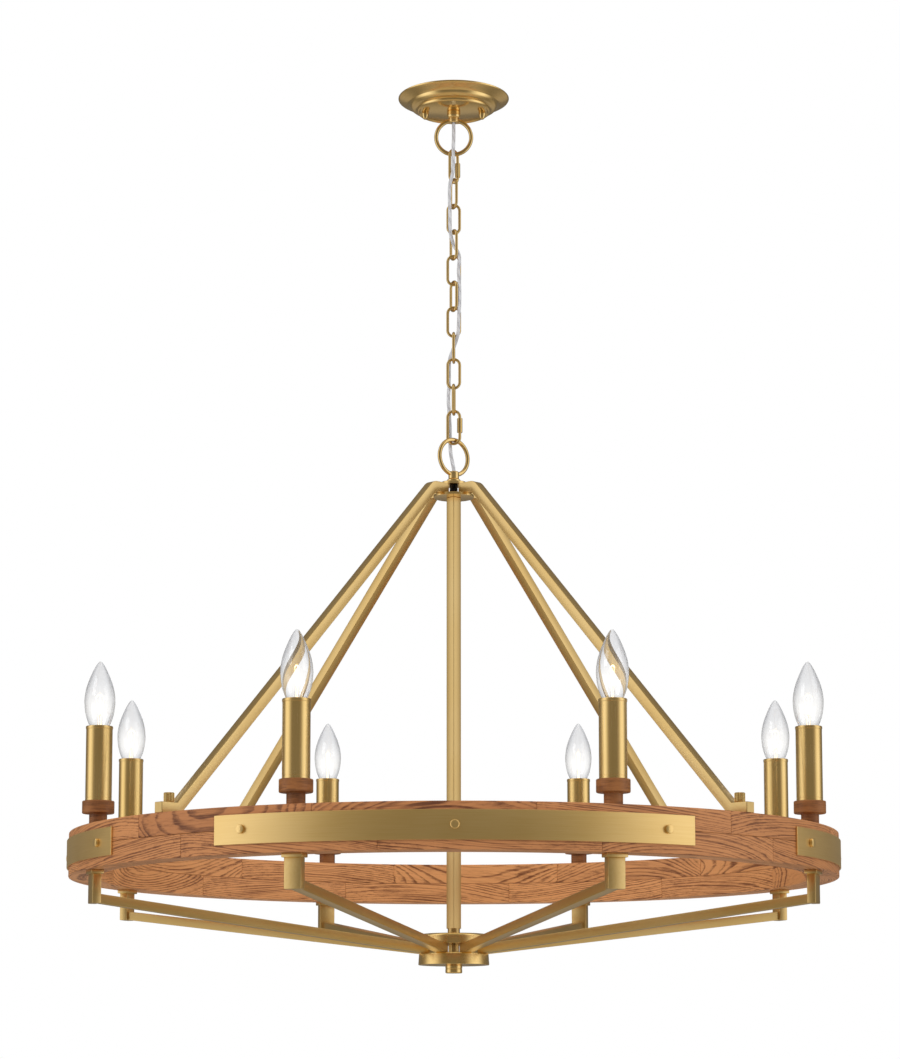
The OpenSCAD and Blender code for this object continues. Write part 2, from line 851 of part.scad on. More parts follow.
module candle_cups() {
    bore_r = rod_d / 2;
    neck_r = cup_neck_d / 2;
    rim_r = cup_rim_d / 2;
    color(WOOD)
        around(lamp_angles)
            translate([ring_r_mid, 0, 0])
                turned(concat(
                    [[bore_r, cup_bottom_z], [neck_r + 0.6, cup_bottom_z], [neck_r, cup_bottom_z + 1]],
                    [[neck_r, cup_neck_top_z - 0.8], [neck_r + 0.8, cup_neck_top_z]],
                    arc(rim_r - 1.5, cup_neck_top_z + 1.5, 1.5, -90, 0, 4),
                    arc(rim_r - 1.5, cup_top_z - 1.5, 1.5, 0, 90, 4),
                    [[bore_r, cup_top_z]]
                ));
}

module candle_sleeves() {
    outer_r = sleeve_d / 2;
    color(BRASS)
        around(lamp_angles)
            translate([ring_r_mid, 0, 0])
                turned([
                    [outer_r - sleeve_wall, cup_top_z], [outer_r, cup_top_z],
                    [outer_r, sleeve_top_z - sleeve_rim_h],
                    [outer_r + sleeve_rim_out, sleeve_top_z - sleeve_rim_h + 0.3],
                    [outer_r + sleeve_rim_out, sleeve_top_z - 0.5],
                    [outer_r, sleeve_top_z], [outer_r - sleeve_wall, sleeve_top_z]
                ]);
}

module candle_sockets() {
    color(PORCELAIN)
        around(lamp_angles)
            translate([ring_r_mid, 0, 0])
                difference() {
                    upright(socket_d, socket_bottom_z, socket_top_z);
                    upright(socket_bore_d, socket_top_z - socket_bore_depth, socket_top_z + 1);
                }
}

// Two-core wire inside each lower arm, from the hub to its drop tube
module lamp_wires() {
    wire_t = 2.4;
    drop_z = drop_bottom_z + tube_wall + 2.5;
    path = [[lower_arm_end_r + 3, lower_arm_axis_z], [lower_arm_bend_r, lower_arm_axis_z],
            [drop_r, drop_z + 1], [drop_r, ring_bottom_z - flange_t - 2]];
    color(CLEAR_CORD)
        around(lamp_angles)
            bent_bar(path, wire_t, 2 * wire_t);
}

// Torpedo glass on a small screw base, as heights above the sleeve's top
function bulb_outline() = [
    [0, -26.5], [3, -26.2], [4, -25], [base_d / 2, -23.5], [base_d / 2, -11.5],
    [7.2, -10.5], [8.2, -6], [10.2, -2], [12.4, 2.5], [14.8, 9], [16.6, 17],
    [bulb_d / 2 - 0.1, 25], [bulb_d / 2, 29], [bulb_d / 2 - 0.3, 34], [16.1, 41],
    [13.9, 49], [10.6, 57.5], [7.2, 65], [4.2, 70.5], [1.8, 73.6], [0, bulb_tip_h]
];

module bulb(i) {
    color(GLASS)
        rotate([0, 0, lamp_angles[i - 1]])
            translate([ring_r_mid, 0, sleeve_top_z + bulb_rest_gap])
                turned(bulb_outline());
}

// ---------------------------------------------------------------- nodes

quick_1_z = (quick_1_top_z + quick_1_bottom_z) / 2;
quick_2_z = (quick_2_top_z + quick_2_bottom_z) / 2;

ceiling_crossbar();
canopy_studs();
canopy();
canopy_cap_nuts();
top_nipple();
top_collar();
top_loop();
quick_link(quick_1_z, quick_1_turn, quick_1_gap_z);  // quick_link_top
quick_link_sleeve(quick_1_z, quick_1_turn, quick_1_nut_z);  // quick_link_top_sleeve
chain_link(0);  // chain_link_1
chain_link(1);  // chain_link_2
chain_link(2);  // chain_link_3
chain_link(3);  // chain_link_4
chain_link(4);  // chain_link_5
chain_link(5);  // chain_link_6
chain_link(6);  // chain_link_7
chain_link(7);  // chain_link_8
chain_link(8);  // chain_link_9
quick_link(quick_2_z, quick_2_turn, quick_2_gap_z);  // quick_link_bottom
quick_link_sleeve(quick_2_z, quick_2_turn, quick_2_nut_z);  // quick_link_bottom_sleeve
supply_cord();
bottom_loop();
bottom_collar();
hub_nipple();
top_hub_disc();
upper_arm(arm_angles[0]);  // upper_arm_1
upper_arm(arm_angles[1]);  // upper_arm_2
upper_arm(arm_angles[2]);  // upper_arm_3
upper_arm(arm_angles[3]);  // upper_arm_4
centre_column();
lower_hub_top_disc();
lower_hub_post();
lower_hub_bottom_disc();
bottom_finial();
lower_arm(lamp_angles[0]);  // lower_arm_1
lower_arm(lamp_angles[1]);  // lower_arm_2
lower_arm(lamp_angles[2]);  // lower_arm_3
lower_arm(lamp_angles[3]);  // lower_arm_4
lower_arm(lamp_angles[4]);  // lower_arm_5
lower_arm(lamp_angles[5]);  // lower_arm_6
lower_arm(lamp_angles[6]);  // lower_arm_7
lower_arm(lamp_angles[7]);  // lower_arm_8
ring_upper_course();
ring_lower_course();
ring_straps();
strap_pins();
foot_nuts();
candle_rods();
candle_cups();
candle_sleeves();
candle_sockets();
lamp_wires();
bulb(1);  // bulb_1
bulb(2);  // bulb_2
bulb(3);  // bulb_3
bulb(4);  // bulb_4
bulb(5);  // bulb_5
bulb(6);  // bulb_6
bulb(7);  // bulb_7
bulb(8);  // bulb_8
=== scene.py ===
"""Wagon wheel chandelier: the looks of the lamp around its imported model."""

import math
import random

import bpy
from mathutils import Matrix, Vector


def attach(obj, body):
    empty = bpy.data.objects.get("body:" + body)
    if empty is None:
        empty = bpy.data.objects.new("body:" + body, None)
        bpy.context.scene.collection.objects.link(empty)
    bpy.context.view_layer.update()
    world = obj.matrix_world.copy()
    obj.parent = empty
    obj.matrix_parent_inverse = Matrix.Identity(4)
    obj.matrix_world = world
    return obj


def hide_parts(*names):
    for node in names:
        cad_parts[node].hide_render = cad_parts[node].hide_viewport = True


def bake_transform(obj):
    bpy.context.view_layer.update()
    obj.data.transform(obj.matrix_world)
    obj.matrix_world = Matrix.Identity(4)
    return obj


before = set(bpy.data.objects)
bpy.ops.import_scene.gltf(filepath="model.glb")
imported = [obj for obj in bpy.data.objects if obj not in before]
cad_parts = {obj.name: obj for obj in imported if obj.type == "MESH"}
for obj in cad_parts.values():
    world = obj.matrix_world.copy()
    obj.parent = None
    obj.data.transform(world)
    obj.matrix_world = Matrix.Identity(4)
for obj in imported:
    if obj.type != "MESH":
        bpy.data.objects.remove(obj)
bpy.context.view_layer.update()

MM = 0.001  # every length below is in millimetres


def polar(radius, angle, z=0.0):
    """A point at that radius and angle in degrees, in millimetres."""
    a = math.radians(angle)
    return Vector((radius * math.cos(a), radius * math.sin(a), z))


# ------------------------------------------------------------------ camera

PHOTO_HEIGHT = 1059
FOCAL_PX = 2907.0
SHIFT_PX = 180

camera = bpy.data.objects.new("camera", bpy.data.cameras.new("camera"))
bpy.context.scene.collection.objects.link(camera)
camera.data.sensor_width = 36
camera.data.lens = 36 * FOCAL_PX / PHOTO_HEIGHT
camera.data.shift_y = SHIFT_PX / PHOTO_HEIGHT
camera.data.clip_end = 50
camera.location = (-0.00810, -3.4549, -1.20909)
camera.rotation_euler = (math.pi / 2 + 0.12948, 0, -0.00104)
bpy.context.scene.camera = camera


# ------------------------------------------------------------------ shader maths


class Channel:
    """A socket in a material's tree. Arithmetic on it adds Math nodes."""

    def __init__(self, paint, socket):
        self.paint, self.socket = paint, socket

    def math(self, operation, *others):
        """A Math node on this channel and others."""
        return self.paint.node("ShaderNodeMath", {"operation": operation}, [self, *others])

    def __add__(self, other):
        return self.math("ADD", other)

    __radd__ = __add__

    def __mul__(self, other):
        return self.math("MULTIPLY", other)

    __rmul__ = __mul__

    def __sub__(self, other):
        return self.math("SUBTRACT", other)

    def __rsub__(self, other):
        return self.paint.node("ShaderNodeMath", {"operation": "SUBTRACT"}, [other, self])

    def __truediv__(self, other):
        return self.math("DIVIDE", other)

    def __pow__(self, other):
        return self.math("POWER", other)

    def rise(self, low, high):
        """0 below low, 1 above high, smooth between."""
        return self.paint.node("ShaderNodeMapRange", {"interpolation_type": "SMOOTHSTEP"},
                               {"Value": self, "From Min": low, "From Max": high})


class Nodes:
    """A tree of shader nodes that is being filled."""

    def __init__(self, tree):
        self.tree = tree

    def feed(self, socket, value):
        """Links a channel to a socket, or sets a number or a colour on it."""
        if isinstance(value, Channel):
            self.tree.links.new(value.socket, socket)
        elif isinstance(value, (tuple, list)) and socket.type == "RGBA":
            socket.default_value = (*value, 1)
        else:
            socket.default_value = value

    def node(self, kind, settings, values, output=0):
        """Adds a node: its settings first, then its sockets by name or in order."""
        made = self.tree.nodes.new(kind)
        for name, value in settings.items():
            setattr(made, name, value)
        pairs = values.items() if isinstance(values, dict) else enumerate(values)
        for key, value in pairs:
            self.feed(made.inputs[key], value)
        return Channel(self, made.outputs[output])

    def parts(self, vector):
        """The three numbers of a vector."""
        return [self.node("ShaderNodeSeparateXYZ", {}, [vector], k) for k in range(3)]

    def mix(self, factor, first, second):
        """A colour between two others."""
        return self.node("ShaderNodeMix", {"data_type": "RGBA"},
                         {0: factor, 6: first, 7: second}, 2)

    def blend(self, factor, first, second):
        """A shader between two others."""
        return self.node("ShaderNodeMixShader", {}, [factor, first, second])


class Paint(Nodes):
    """A material, and the nodes it is made of."""

    def __init__(self, name, **uniform):
        self.material = bpy.data.materials.new(name)
        self.material.use_nodes = True
        super().__init__(self.material.node_tree)
        self.surface = self.tree.nodes["Principled BSDF"]
        self.set(uniform)

    def set(self, values):
        """Feeds sockets of the surface by name."""
        for name, value in values.items():
            self.feed(self.surface.inputs[name.replace("_", " ")], value)

    def place(self):
        """Where a point lies on the lamp, in metres."""
        return self.node("ShaderNodeTexCoord", {}, {}, "Object")

    def along(self, attribute):
        """A vector kept at the mesh's points."""
        return self.node("ShaderNodeAttribute", {"attribute_name": attribute}, {}, "Vector")

    def stretched(self, where, scale):
        """A place with each of its numbers scaled."""
        return self.node("ShaderNodeMapping", {}, {"Vector": where, "Scale": scale})

    def noise(self, where, scale, detail=2.0, rough=0.5):
        """Soft noise, from 0 to 1 and 0.5 on average."""
        return self.node("ShaderNodeTexNoise", {},
                         {"Vector": where, "Scale": scale, "Detail": detail, "Roughness": rough})

    def bump(self, height, strength, distance):
        """The surface's direction over small heights."""
        return self.node("ShaderNodeBump", {},
                         {"Strength": strength, "Distance": distance, "Height": height})


# ------------------------------------------------------------------ finishes

BRASS_LIGHT = Vector((0.91, 0.650, 0.275))
BRASS_DEEP = Vector((0.84, 0.570, 0.208))


def satin_brass(name, brush, roughness=0.30, depth=1.0, attribute=None):
    """Lacquered brass with fine brush marks. brush scales the marks along x, y and z, or along the
    vector that attribute names. depth scales the colour as painted light: below 1 it paints the
    brass darker, as shade, above 1 paler, as a highlight."""
    p = Paint(name, Metallic=1.0, Coat_Weight=0.40, Coat_Roughness=0.25)
    where = p.along(attribute) if attribute else p.place()
    marks = p.noise(p.stretched(where, brush), 1.0, 3, 0.55)
    cloud = p.noise(where, 9, 2)
    tone = (marks * 0.4 + cloud * 0.6).rise(0.32, 0.68)
    p.set({
        "Base Color": p.mix(tone, tuple(BRASS_DEEP * depth), tuple(BRASS_LIGHT * depth)),
        "Roughness": marks * 0.06 + cloud * 0.05 + (roughness - 0.055),  # roughness on average
        "Normal": p.bump(marks, 0.03, 0.00001),
    })
    return p.material


YEAR_WIDTH = 0.0027  # metres of oak grown in a year


def oak():
    """Stained oak. Each stave has its own place in the log, kept in its grain attribute, and its
    own tone, where 0 is pale and 1 is dark: partly random, partly painted shade on the front
    staves."""
    p = Paint("stained_oak", Specular_IOR_Level=0.48)
    grain = p.along("grain")
    stave = p.node("ShaderNodeAttribute", {"attribute_name": "stave_tone_and_shade"}, {}, "Fac")
    wander = p.noise(p.stretched(grain, (3, 16, 16)), 1.0, 2, 0.5) - 0.5
    ripple = p.noise(p.stretched(grain, (16, 130, 130)), 1.0, 2, 0.6) - 0.5
    along, out, up = p.parts(grain)
    distance = (out * out + up * up) ** 0.5 + along * 0.03
    yearly = p.node("ShaderNodeCombineXYZ", {}, [distance * 130, along, 0.0])
    season = p.noise(yearly, 1.0, 2) - 0.5
    rings = (distance + wander * 0.012 + ripple * 0.0016 + season * 0.009) / YEAR_WIDTH
    year = rings.math("FRACT")
    late = year.rise(0.35, 0.82) * (1 - year.rise(0.86, 1.0)) * (season * 1.6 + 0.9)
    pores = p.noise(p.stretched(grain, (55, 1300, 1300)), 1.0, 2, 0.7).rise(0.54, 0.72)
    fibre = p.noise(p.stretched(grain, (14, 420, 420)), 1.0, 4, 0.65)
    streak = p.noise(p.stretched(grain, (5, 70, 70)), 1.0, 3, 0.6)
    dark = late * 0.58 + pores * (late * 0.25 + 0.25)
    dark = dark + (fibre - 0.5) * 1.5 + (streak - 0.5) * 1.1
    # The dark ends of these mixes also carry the painted shade of the front staves.
    light = p.mix(stave, (0.700, 0.306, 0.106), (0.420, 0.160, 0.050))
    deep = p.mix(stave, (0.180, 0.052, 0.012), (0.105, 0.028, 0.007))
    p.set({
        "Base Color": p.mix(dark.rise(-0.12, 0.92), light, deep),
        "Roughness": 0.46 + dark * 0.12,
        "Normal": p.bump(1 - dark, 0.35, 0.00014),
    })
    return p.material


def turned_oak():
    """The cups' wood: level grain, seen on a small turned piece."""
    p = Paint("turned_oak", Specular_IOR_Level=0.35)
    where = p.place()
    wander = p.noise(p.stretched(where, (25, 25, 90)), 1.0, 2)
    line = p.noise(p.stretched(where, (45, 45, 520)), 1.0, 3, 0.6)
    pores = p.noise(p.stretched(where, (160, 160, 1500)), 1.0, 2, 0.7).rise(0.55, 0.72)
    dark = (wander * 0.4 + line * 0.6).rise(0.36, 0.66) * 0.6 + pores * 0.35
    p.set({
        "Base Color": p.mix(dark.rise(0.0, 0.95), (0.300, 0.112, 0.030), (0.115, 0.038, 0.010)),
        "Roughness": 0.38 + dark * 0.12,
        "Normal": p.bump(1 - dark, 0.3, 0.00012),
    })
    return p.material


def plated(name, colour, roughness, **more):
    """Bright plating or drawn wire with faint marks."""
    p = Paint(name, Metallic=1.0, **more)
    marks = p.noise(p.stretched(p.place(), (300, 300, 90)), 1.0, 3)
    p.set({
        "Base Color": p.mix(marks, colour, tuple(0.75 * c for c in colour)),
        "Roughness": marks * 0.15 + roughness,
        "Normal": p.bump(marks, 0.1, 0.00002),
    })
    return p.material


def enamel(name, colour, roughness=0.35, coat=0.0):
    """A painted or glazed surface with a faint orange-peel."""
    p = Paint(name, Coat_Weight=coat)
    peel = p.noise(p.place(), 900, 2)
    cloud = p.noise(p.place(), 40, 3)
    p.set({
        "Base Color": p.mix(cloud, colour, tuple(0.86 * c for c in colour)),
        "Roughness": roughness + (cloud - 0.5) * 0.1,
        "Normal": p.bump(peel, 0.08, 0.00004),
    })
    return p.material


def lamp_glass(glow_from, glow_to):
    """Clear glass with a painted grey reflection at its rim and towards its tip, and the lamp's
    glow in its lower half.
    """
    p = Paint("lamp_glass", Transmission_Weight=1.0, IOR=1.46, Emission_Strength=0.04)
    height = p.parts(p.place())[2]
    rim = p.node("ShaderNodeLayerWeight", {}, {"Blend": 0.5}, "Facing") ** 1.3
    span = glow_to - glow_from
    tip = height.rise(glow_from + 0.1 * span, glow_to + 0.2 * span)
    glow = height.rise(glow_from, glow_from + 0.35 * span)
    glow = glow * (1 - height.rise(glow_from + 0.35 * span, glow_to))
    p.set({
        # Painted reflection: the base colour greys the glass at its rim and towards its tip.
        "Base Color": p.mix(rim, p.mix(tip, (0.970, 0.970, 0.968), (0.925, 0.925, 0.93)),
                            (0.36, 0.37, 0.40)),
        "Roughness": p.noise(p.place(), 60, 2) * 0.02,
        "Emission Color": p.mix(glow, (0, 0, 0), (1.0, 0.93, 0.80)),
    })
    return p.material


def cord_jacket():
    """Clear plastic over two tinned cores that turn round each other."""
    p = Paint("clear_cord_jacket", Transmission_Weight=0.35, IOR=1.5, Coat_Weight=0.5)
    turned = p.node("ShaderNodeAttribute", {"attribute_name": "lay"}, {}, "Fac")
    groove = (turned.math("SINE") * 0.5 + 0.5) ** 2
    speck = p.noise(p.place(), 1500, 2)
    p.set({
        # Painted shade: the jacket is darker along the groove between the cores.
        "Base Color": p.mix(groove, (0.76, 0.76, 0.78), (0.56, 0.55, 0.57)),
        "Roughness": speck * 0.15 + 0.12,
        "Normal": p.bump(1 - groove, 0.15, 0.0002),
    })
    return p.material


# Painted shade and light: the depth numbers below make the wire, bars and column darker, and the
# straps and pins paler, copies of one brass.
brass_upright = satin_brass("satin_brass_upright", (900, 900, 14), 0.26)
brass_column = satin_brass("satin_brass_column", (1500, 1500, 5), 0.30, 0.72)
brass_turned = satin_brass("satin_brass_turned", (60, 60, 900), 0.23)
brass_spun = satin_brass("satin_brass_spun", (60, 60, 900), 0.19)
brass_strap = satin_brass("satin_brass_strap", (22, 22, 1300), 0.40, 1.08)
brass_wire = satin_brass("satin_brass_wire", (200, 200, 200), 0.11, 0.90)
brass_bar = satin_brass("satin_brass_bar", (9, 260, 260), 0.33, 0.86, "brush")
brass_pin = satin_brass("satin_brass_pin", (500, 500, 500), 0.34, 1.09)
stained_oak = oak()
cup_oak = turned_oak()
zinc = plated("zinc_plate", (0.62, 0.62, 0.60), 0.28)
nickel = plated("nickel_plate", (0.78, 0.74, 0.66), 0.2)
black_paint = enamel("black_paint", (0.016, 0.016, 0.018), 0.42)
glaze = enamel("white_glaze", (0.80, 0.77, 0.70), 0.22, 0.6)
clear_jacket = cord_jacket()
hot_wire = plated("filament_wire", (0.45, 0.40, 0.35), 0.4,
                  Emission_Color=(1.0, 0.66, 0.34), Emission_Strength=3.0)


# ------------------------------------------------------------------ mesh work


def piece(name, form, material, body, replaces=(), values=None, angle=32):
    """A shown piece from a form in millimetres, riding on a body of the frame. Edges sharper than
    the angle stay sharp, and values are numbers kept at its points for the material."""
    mesh = bpy.data.meshes.new(name)
    mesh.from_pydata([tuple(MM * c for c in p) for p in form.points], [], form.faces)
    mesh.validate()
    for key, (kind, numbers) in (values or {}).items():
        layer = mesh.attributes.new(key, kind, "POINT")
        layer.data.foreach_set("vector" if kind == "FLOAT_VECTOR" else "value", numbers)
    mesh.materials.append(material)
    mesh.shade_smooth()
    mesh.set_sharp_from_angle(angle=math.radians(angle))
    made = bpy.data.objects.new(name, mesh)
    bpy.context.scene.collection.objects.link(made)
    if body:
        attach(made, body)
    if replaces:
        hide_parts(*replaces)
    return made


def brushed_along(form, direction):
    """The form's points measured along a direction and across it, for the bars' brush marks."""
    along = Vector(direction).normalized()
    third = along.cross(Vector((0, 1, 0)))
    numbers = []
    for p in form.points:
        v = Vector(p) * MM
        numbers += [v.dot(along), v.y, v.dot(third)]
    return {"brush": ("FLOAT_VECTOR", numbers)}


class Shape:
    """Points and faces of one or more closed forms, gathered before they become a piece."""

    def __init__(self):
        self.points, self.faces = [], []

    def rings(self, loops, closed=False, caps=True):
        """Joins loops of equally many points, one after the other, and turns the faces outward.
        A loop of one point is a tip."""
        starts, first_face = [], len(self.faces)
        for loop in loops:
            starts.append(len(self.points))
            self.points += [tuple(p) for p in loop]
        count = len(loops)
        for k in range(count if closed else count - 1):
            a, b = loops[k], loops[(k + 1) % count]
            sa, sb = starts[k], starts[(k + 1) % count]
            n = max(len(a), len(b))
            for i in range(n):
                j = (i + 1) % n
                if len(a) == 1:
                    self.faces.append((sa, sb + j, sb + i))
                elif len(b) == 1:
                    self.faces.append((sa + i, sa + j, sb))
                else:
                    self.faces.append((sa + i, sa + j, sb + j, sb + i))
        if caps and not closed:
            for k, flip in ((0, True), (count - 1, False)):
                if len(loops[k]) > 1:
                    face = list(range(starts[k], starts[k] + len(loops[k])))
                    self.faces.append(tuple(face[::-1] if flip else face))
        if self.volume(first_face) < 0:
            self.faces[first_face:] = [face[::-1] for face in self.faces[first_face:]]
        return self

    def volume(self, first_face):
        """Six times the volume inside the faces from first_face on, negative if they look in."""
        total = 0.0
        for face in self.faces[first_face:]:
            a, *others = [Vector(self.points[i]) for i in face]
            total += sum(a.dot(b.cross(c)) for b, c in zip(others, others[1:]))
        return total

    def lathe(self, outline, centre=(0, 0, 0), turns=64, axis=None):
        """Turns an outline of (radius, height) about an axis. The outline closes on itself unless
        both of its ends are on the axis."""
        frame_of = axis or Matrix.Identity(3)
        centre = Vector(centre)
        loops = []
        for r, h in outline:
            if r < 1e-6:
                loops.append([centre + frame_of @ Vector((0, 0, h))])
            else:
                loops.append([centre + frame_of @ Vector((
                    r * math.cos(math.tau * k / turns), r * math.sin(math.tau * k / turns), h))
                    for k in range(turns)])
        solid = outline[0][0] < 1e-6 and outline[-1][0] < 1e-6
        return self.rings(loops, closed=not solid, caps=False)

    def sweep(self, path, section, across=(0, 1, 0), closed=False, caps=True):
        """Moves a flat section along a path. across is near the section's first direction."""
        loops = []
        last = len(path) - 1
        for k, p in enumerate(path):
            before = path[(k - 1) % len(path)] if closed or k > 0 else path[k]
            after = path[(k + 1) % len(path)] if closed or k < last else path[k]
            along = (Vector(after) - Vector(before)).normalized()
            first = Vector(across)
            first = (first - along * first.dot(along)).normalized()
            second = along.cross(first)
            loops.append([Vector(p) + first * u + second * v for u, v in section])
        return self.rings(loops, closed, caps)

    def moved(self, matrix):
        """The form itself, moved."""
        self.points = [tuple(matrix @ Vector(p)) for p in self.points]
        return self

    def add(self, other):
        """The form itself, with another one added."""
        start = len(self.points)
        self.points += other.points
        self.faces += [tuple(i + start for i in f) for f in other.faces]
        return self

    def around(self, angles):
        """Copies of the form, turned about the lamp's axis."""
        whole = Shape()
        for a in angles:
            copy = Shape()
            copy.points, copy.faces = list(self.points), list(self.faces)
            whole.add(copy.moved(Matrix.Rotation(math.radians(a), 4, "Z")))
        self.points, self.faces = whole.points, whole.faces
        return self


def turned_and_set(angle, z):
    """Turns about the lamp's axis, then lifts to a height."""
    return Matrix.Translation((0, 0, z)) @ Matrix.Rotation(math.radians(angle), 4, "Z")


def circle(radius, n):
    """n points round a circle about its middle."""
    return [(radius * math.cos(math.tau * k / n), radius * math.sin(math.tau * k / n))
            for k in range(n)]


def rounded_box(w, h, r, steps=3):
    """Outline of a w by h rectangle with corners rounded by r, about its middle."""
    points = []
    for cx, cy, start in ((1, 1, 0), (-1, 1, 90), (-1, -1, 180), (1, -1, 270)):
        for k in range(steps + 1):
            a = math.radians(start + 90 * k / steps)
            points.append((cx * (w / 2 - r) + r * math.cos(a), cy * (h / 2 - r) + r * math.sin(a)))
    return points


def eased(corners, steps=4):
    """An outline from (x, y) or (x, y, r) corners, where r rounds that corner."""
    points, n = [], len(corners)
    for k, corner in enumerate(corners):
        here = Vector(corner[:2])
        r = corner[2] if len(corner) > 2 else 0
        if not r:
            points.append(tuple(here))
            continue
        a = (Vector(corners[(k - 1) % n][:2]) - here).normalized()
        b = (Vector(corners[(k + 1) % n][:2]) - here).normalized()
        turn = math.acos(max(-1, min(1, a.dot(b))))
        reach = r / math.tan(turn / 2)
        p, q = here + a * reach, here + b * reach
        for s in range(steps + 1):
            f = s / steps
            points.append(tuple((1 - f) ** 2 * p + 2 * f * (1 - f) * here + f * f * q))
    return points


def arc(cx, cy, r, start, end, steps):
    """Points from one angle to another, in degrees, round a centre."""
    return [(cx + r * math.cos(math.radians(start + (end - start) * k / steps)),
             cy + r * math.sin(math.radians(start + (end - start) * k / steps)))
            for k in range(steps + 1)]


# ------------------------------------------------------------------ the lamp's measures

CANOPY_R, CANOPY_FACE = 68.0, -17.0
SCREW_X = 34.925
LOOP_R, LOOP_WIRE = 21.5, 5.0
TOP_LOOP_Z, BOTTOM_LOOP_Z = -49.8, -451.0
LINK_R, LINK_LEN, LINK_WIRE = 7.3, 36.0, 3.4
QUICK_R, QUICK_LEN, QUICK_WIRE = 7.5, 40.4, 3.5
LINK_TURNS = (-62, 8, -62, 0, -62, 2, 88, 0, 84)
LINK_TOP, LINK_PITCH = -103.2, 32.3
RING_OUT, RING_IN = 454.8, 419.8
RING_TOP, RING_MIDDLE, RING_BOTTOM = -913.5, -938.9, -964.3
RING_R = (RING_OUT + RING_IN) / 2
STRAP_T, STRAP_H, STRAP_Z, STRAP_HALF = 2.2, 31.8, -938.3, 34.0
STRAP_ANGLES = (-90, 0, 90, 180)
PIN_TURNS = (-29.6, 0, 29.6)
LAMP_ANGLES = [-112.5 + 45 * k for k in range(8)]
ARM_ANGLES = (-135, -45, 45, 135)
CUP_TOP = RING_TOP + 27.5
SLEEVE_TOP = CUP_TOP + 85.5
SLEEVE_R = 15.0
HUB_TOP, HUB_R = -498.0, 24.6
COLUMN_TOP, COLUMN_BOTTOM = -501.0, -1021.7
CAP_TOP, CAP_BOTTOM = -1028.1, -1040.1  # the lower hub's two discs
PLATE_TOP, PLATE_BOTTOM = -1050.7, -1064.7
DROP_R = RING_R + 2.7
LOWER_AXIS = -1045.4
FIXING, WHEEL = "canopy_fixing", "wheel"

# ------------------------------------------------------------------ supply cord

CORD_D = 4.2
CORD_ROUTE = [
    (0, 0, -5), (0, 0, -20), (0, 0, -36), (0, -3, -50), (-0.4, -6.6, -64),
    (-0.4, -7, -78), (-0.6, -7.4, -92), (-2.4, -9, -103), (-4.6, -7.8, -112),
    (-5, -5.6, -124), (-4.8, -5, -140), (-4.6, -5, -158), (-4, -4.8, -172),
    (0, 0, -186), (5, -1.6, -195), (6.9, -4.3, -204), (6, -4.6, -218),
    (6.6, -4.5, -230), (7.1, -4.4, -242), (7.1, -4.4, -260), (6.4, -4.7, -272),
    (6, -4.8, -288), (5, -4.8, -300), (0, 0, -315), (-5, 4.7, -329),
    (-5.5, 5, -345), (-5.8, 5, -362), (-6.4, 5, -379), (-5.4, 5.3, -396),
    (-4.6, 5.5, -413), (-4.4, 5.5, -431), (-3.4, 4.4, -447), (0, 0, -466),
    (0, 0, -478), (0, 0, -500), (0, 0, -760), (0, 0, -1016),
]


def smooth_route(points, steps):
    """Points on a curve through all the given ones."""
    found, last = [], len(points) - 1
    at = [Vector(p) for p in points]
    for i in range(last):
        p0, p1, p2, p3 = at[max(i - 1, 0)], at[i], at[i + 1], at[min(i + 2, last)]
        for s in range(steps):
            f = s / steps
            found.append(0.5 * (2 * p1 + (p2 - p0) * f + (2 * p0 - 5 * p1 + 4 * p2 - p3) * f * f
                                + (3 * p1 - p0 - 3 * p2 + p3) * f ** 3))
    return found + [at[last]]


# The heights of the hinges between the chain's bodies, from the top down
HINGE_Z = [-71.3, -106.95, -139.2, -171.5, -203.8, -236.1, -268.4, -300.7, -333.0, -365.3,
           -397.6, -434.25]

route = smooth_route(CORD_ROUTE, 6)


def cord_stretch(z_high, z_low):
    """The route's points between two heights."""
    stretch = []
    for a, b in zip(route, route[1:]):
        for z in (z_high, z_low):
            if a.z >= z > b.z:
                stretch.append(a + (b - a) * ((a.z - z) / (a.z - b.z)))
        if z_low < b.z < z_high:
            stretch.append(b)
    stretch = [p for k, p in enumerate(stretch) if not k or (p - stretch[k - 1]).length > 0.05]
    return sorted(stretch, key=lambda p: -p.z)


CORD_SIDES = 20
CORD_LAY = 30.0  # length in which the two cores turn once round each other
# Each piece of cord crosses one hinge, and ends half way to the next or just inside the route
cord_ends = [route[0].z - 0.001, *[(a + b) / 2 for a, b in zip(HINGE_Z, HINGE_Z[1:])],
             route[-1].z + 0.001]
laid = 0.0
for k, hinge in enumerate(HINGE_Z):
    line = cord_stretch(cord_ends[k], cord_ends[k + 1])
    tube = Shape().sweep(line, circle(CORD_D / 2, CORD_SIDES), (0, 1, 0.02))
    lay, length = [], 0.0
    for i, p in enumerate(line):
        length += (p - line[i - 1]).length if i else 0.0
        turns = (laid + length) / CORD_LAY
        lay += [2 * math.tau * (j / CORD_SIDES + turns) for j in range(CORD_SIDES)]
    laid += length
    made = piece(f"supply_cord_{k + 1}", tube, clear_jacket, None,
                 ["supply_cord"], {"lay": ("FLOAT", lay)})
    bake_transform(made)
    line[0] * MM
    length * MM
    [p * MM for p in line]

# ------------------------------------------------------------------ canopy and its fixings

CANOPY_WALL, CANOPY_BORE = 1.2, 5.4


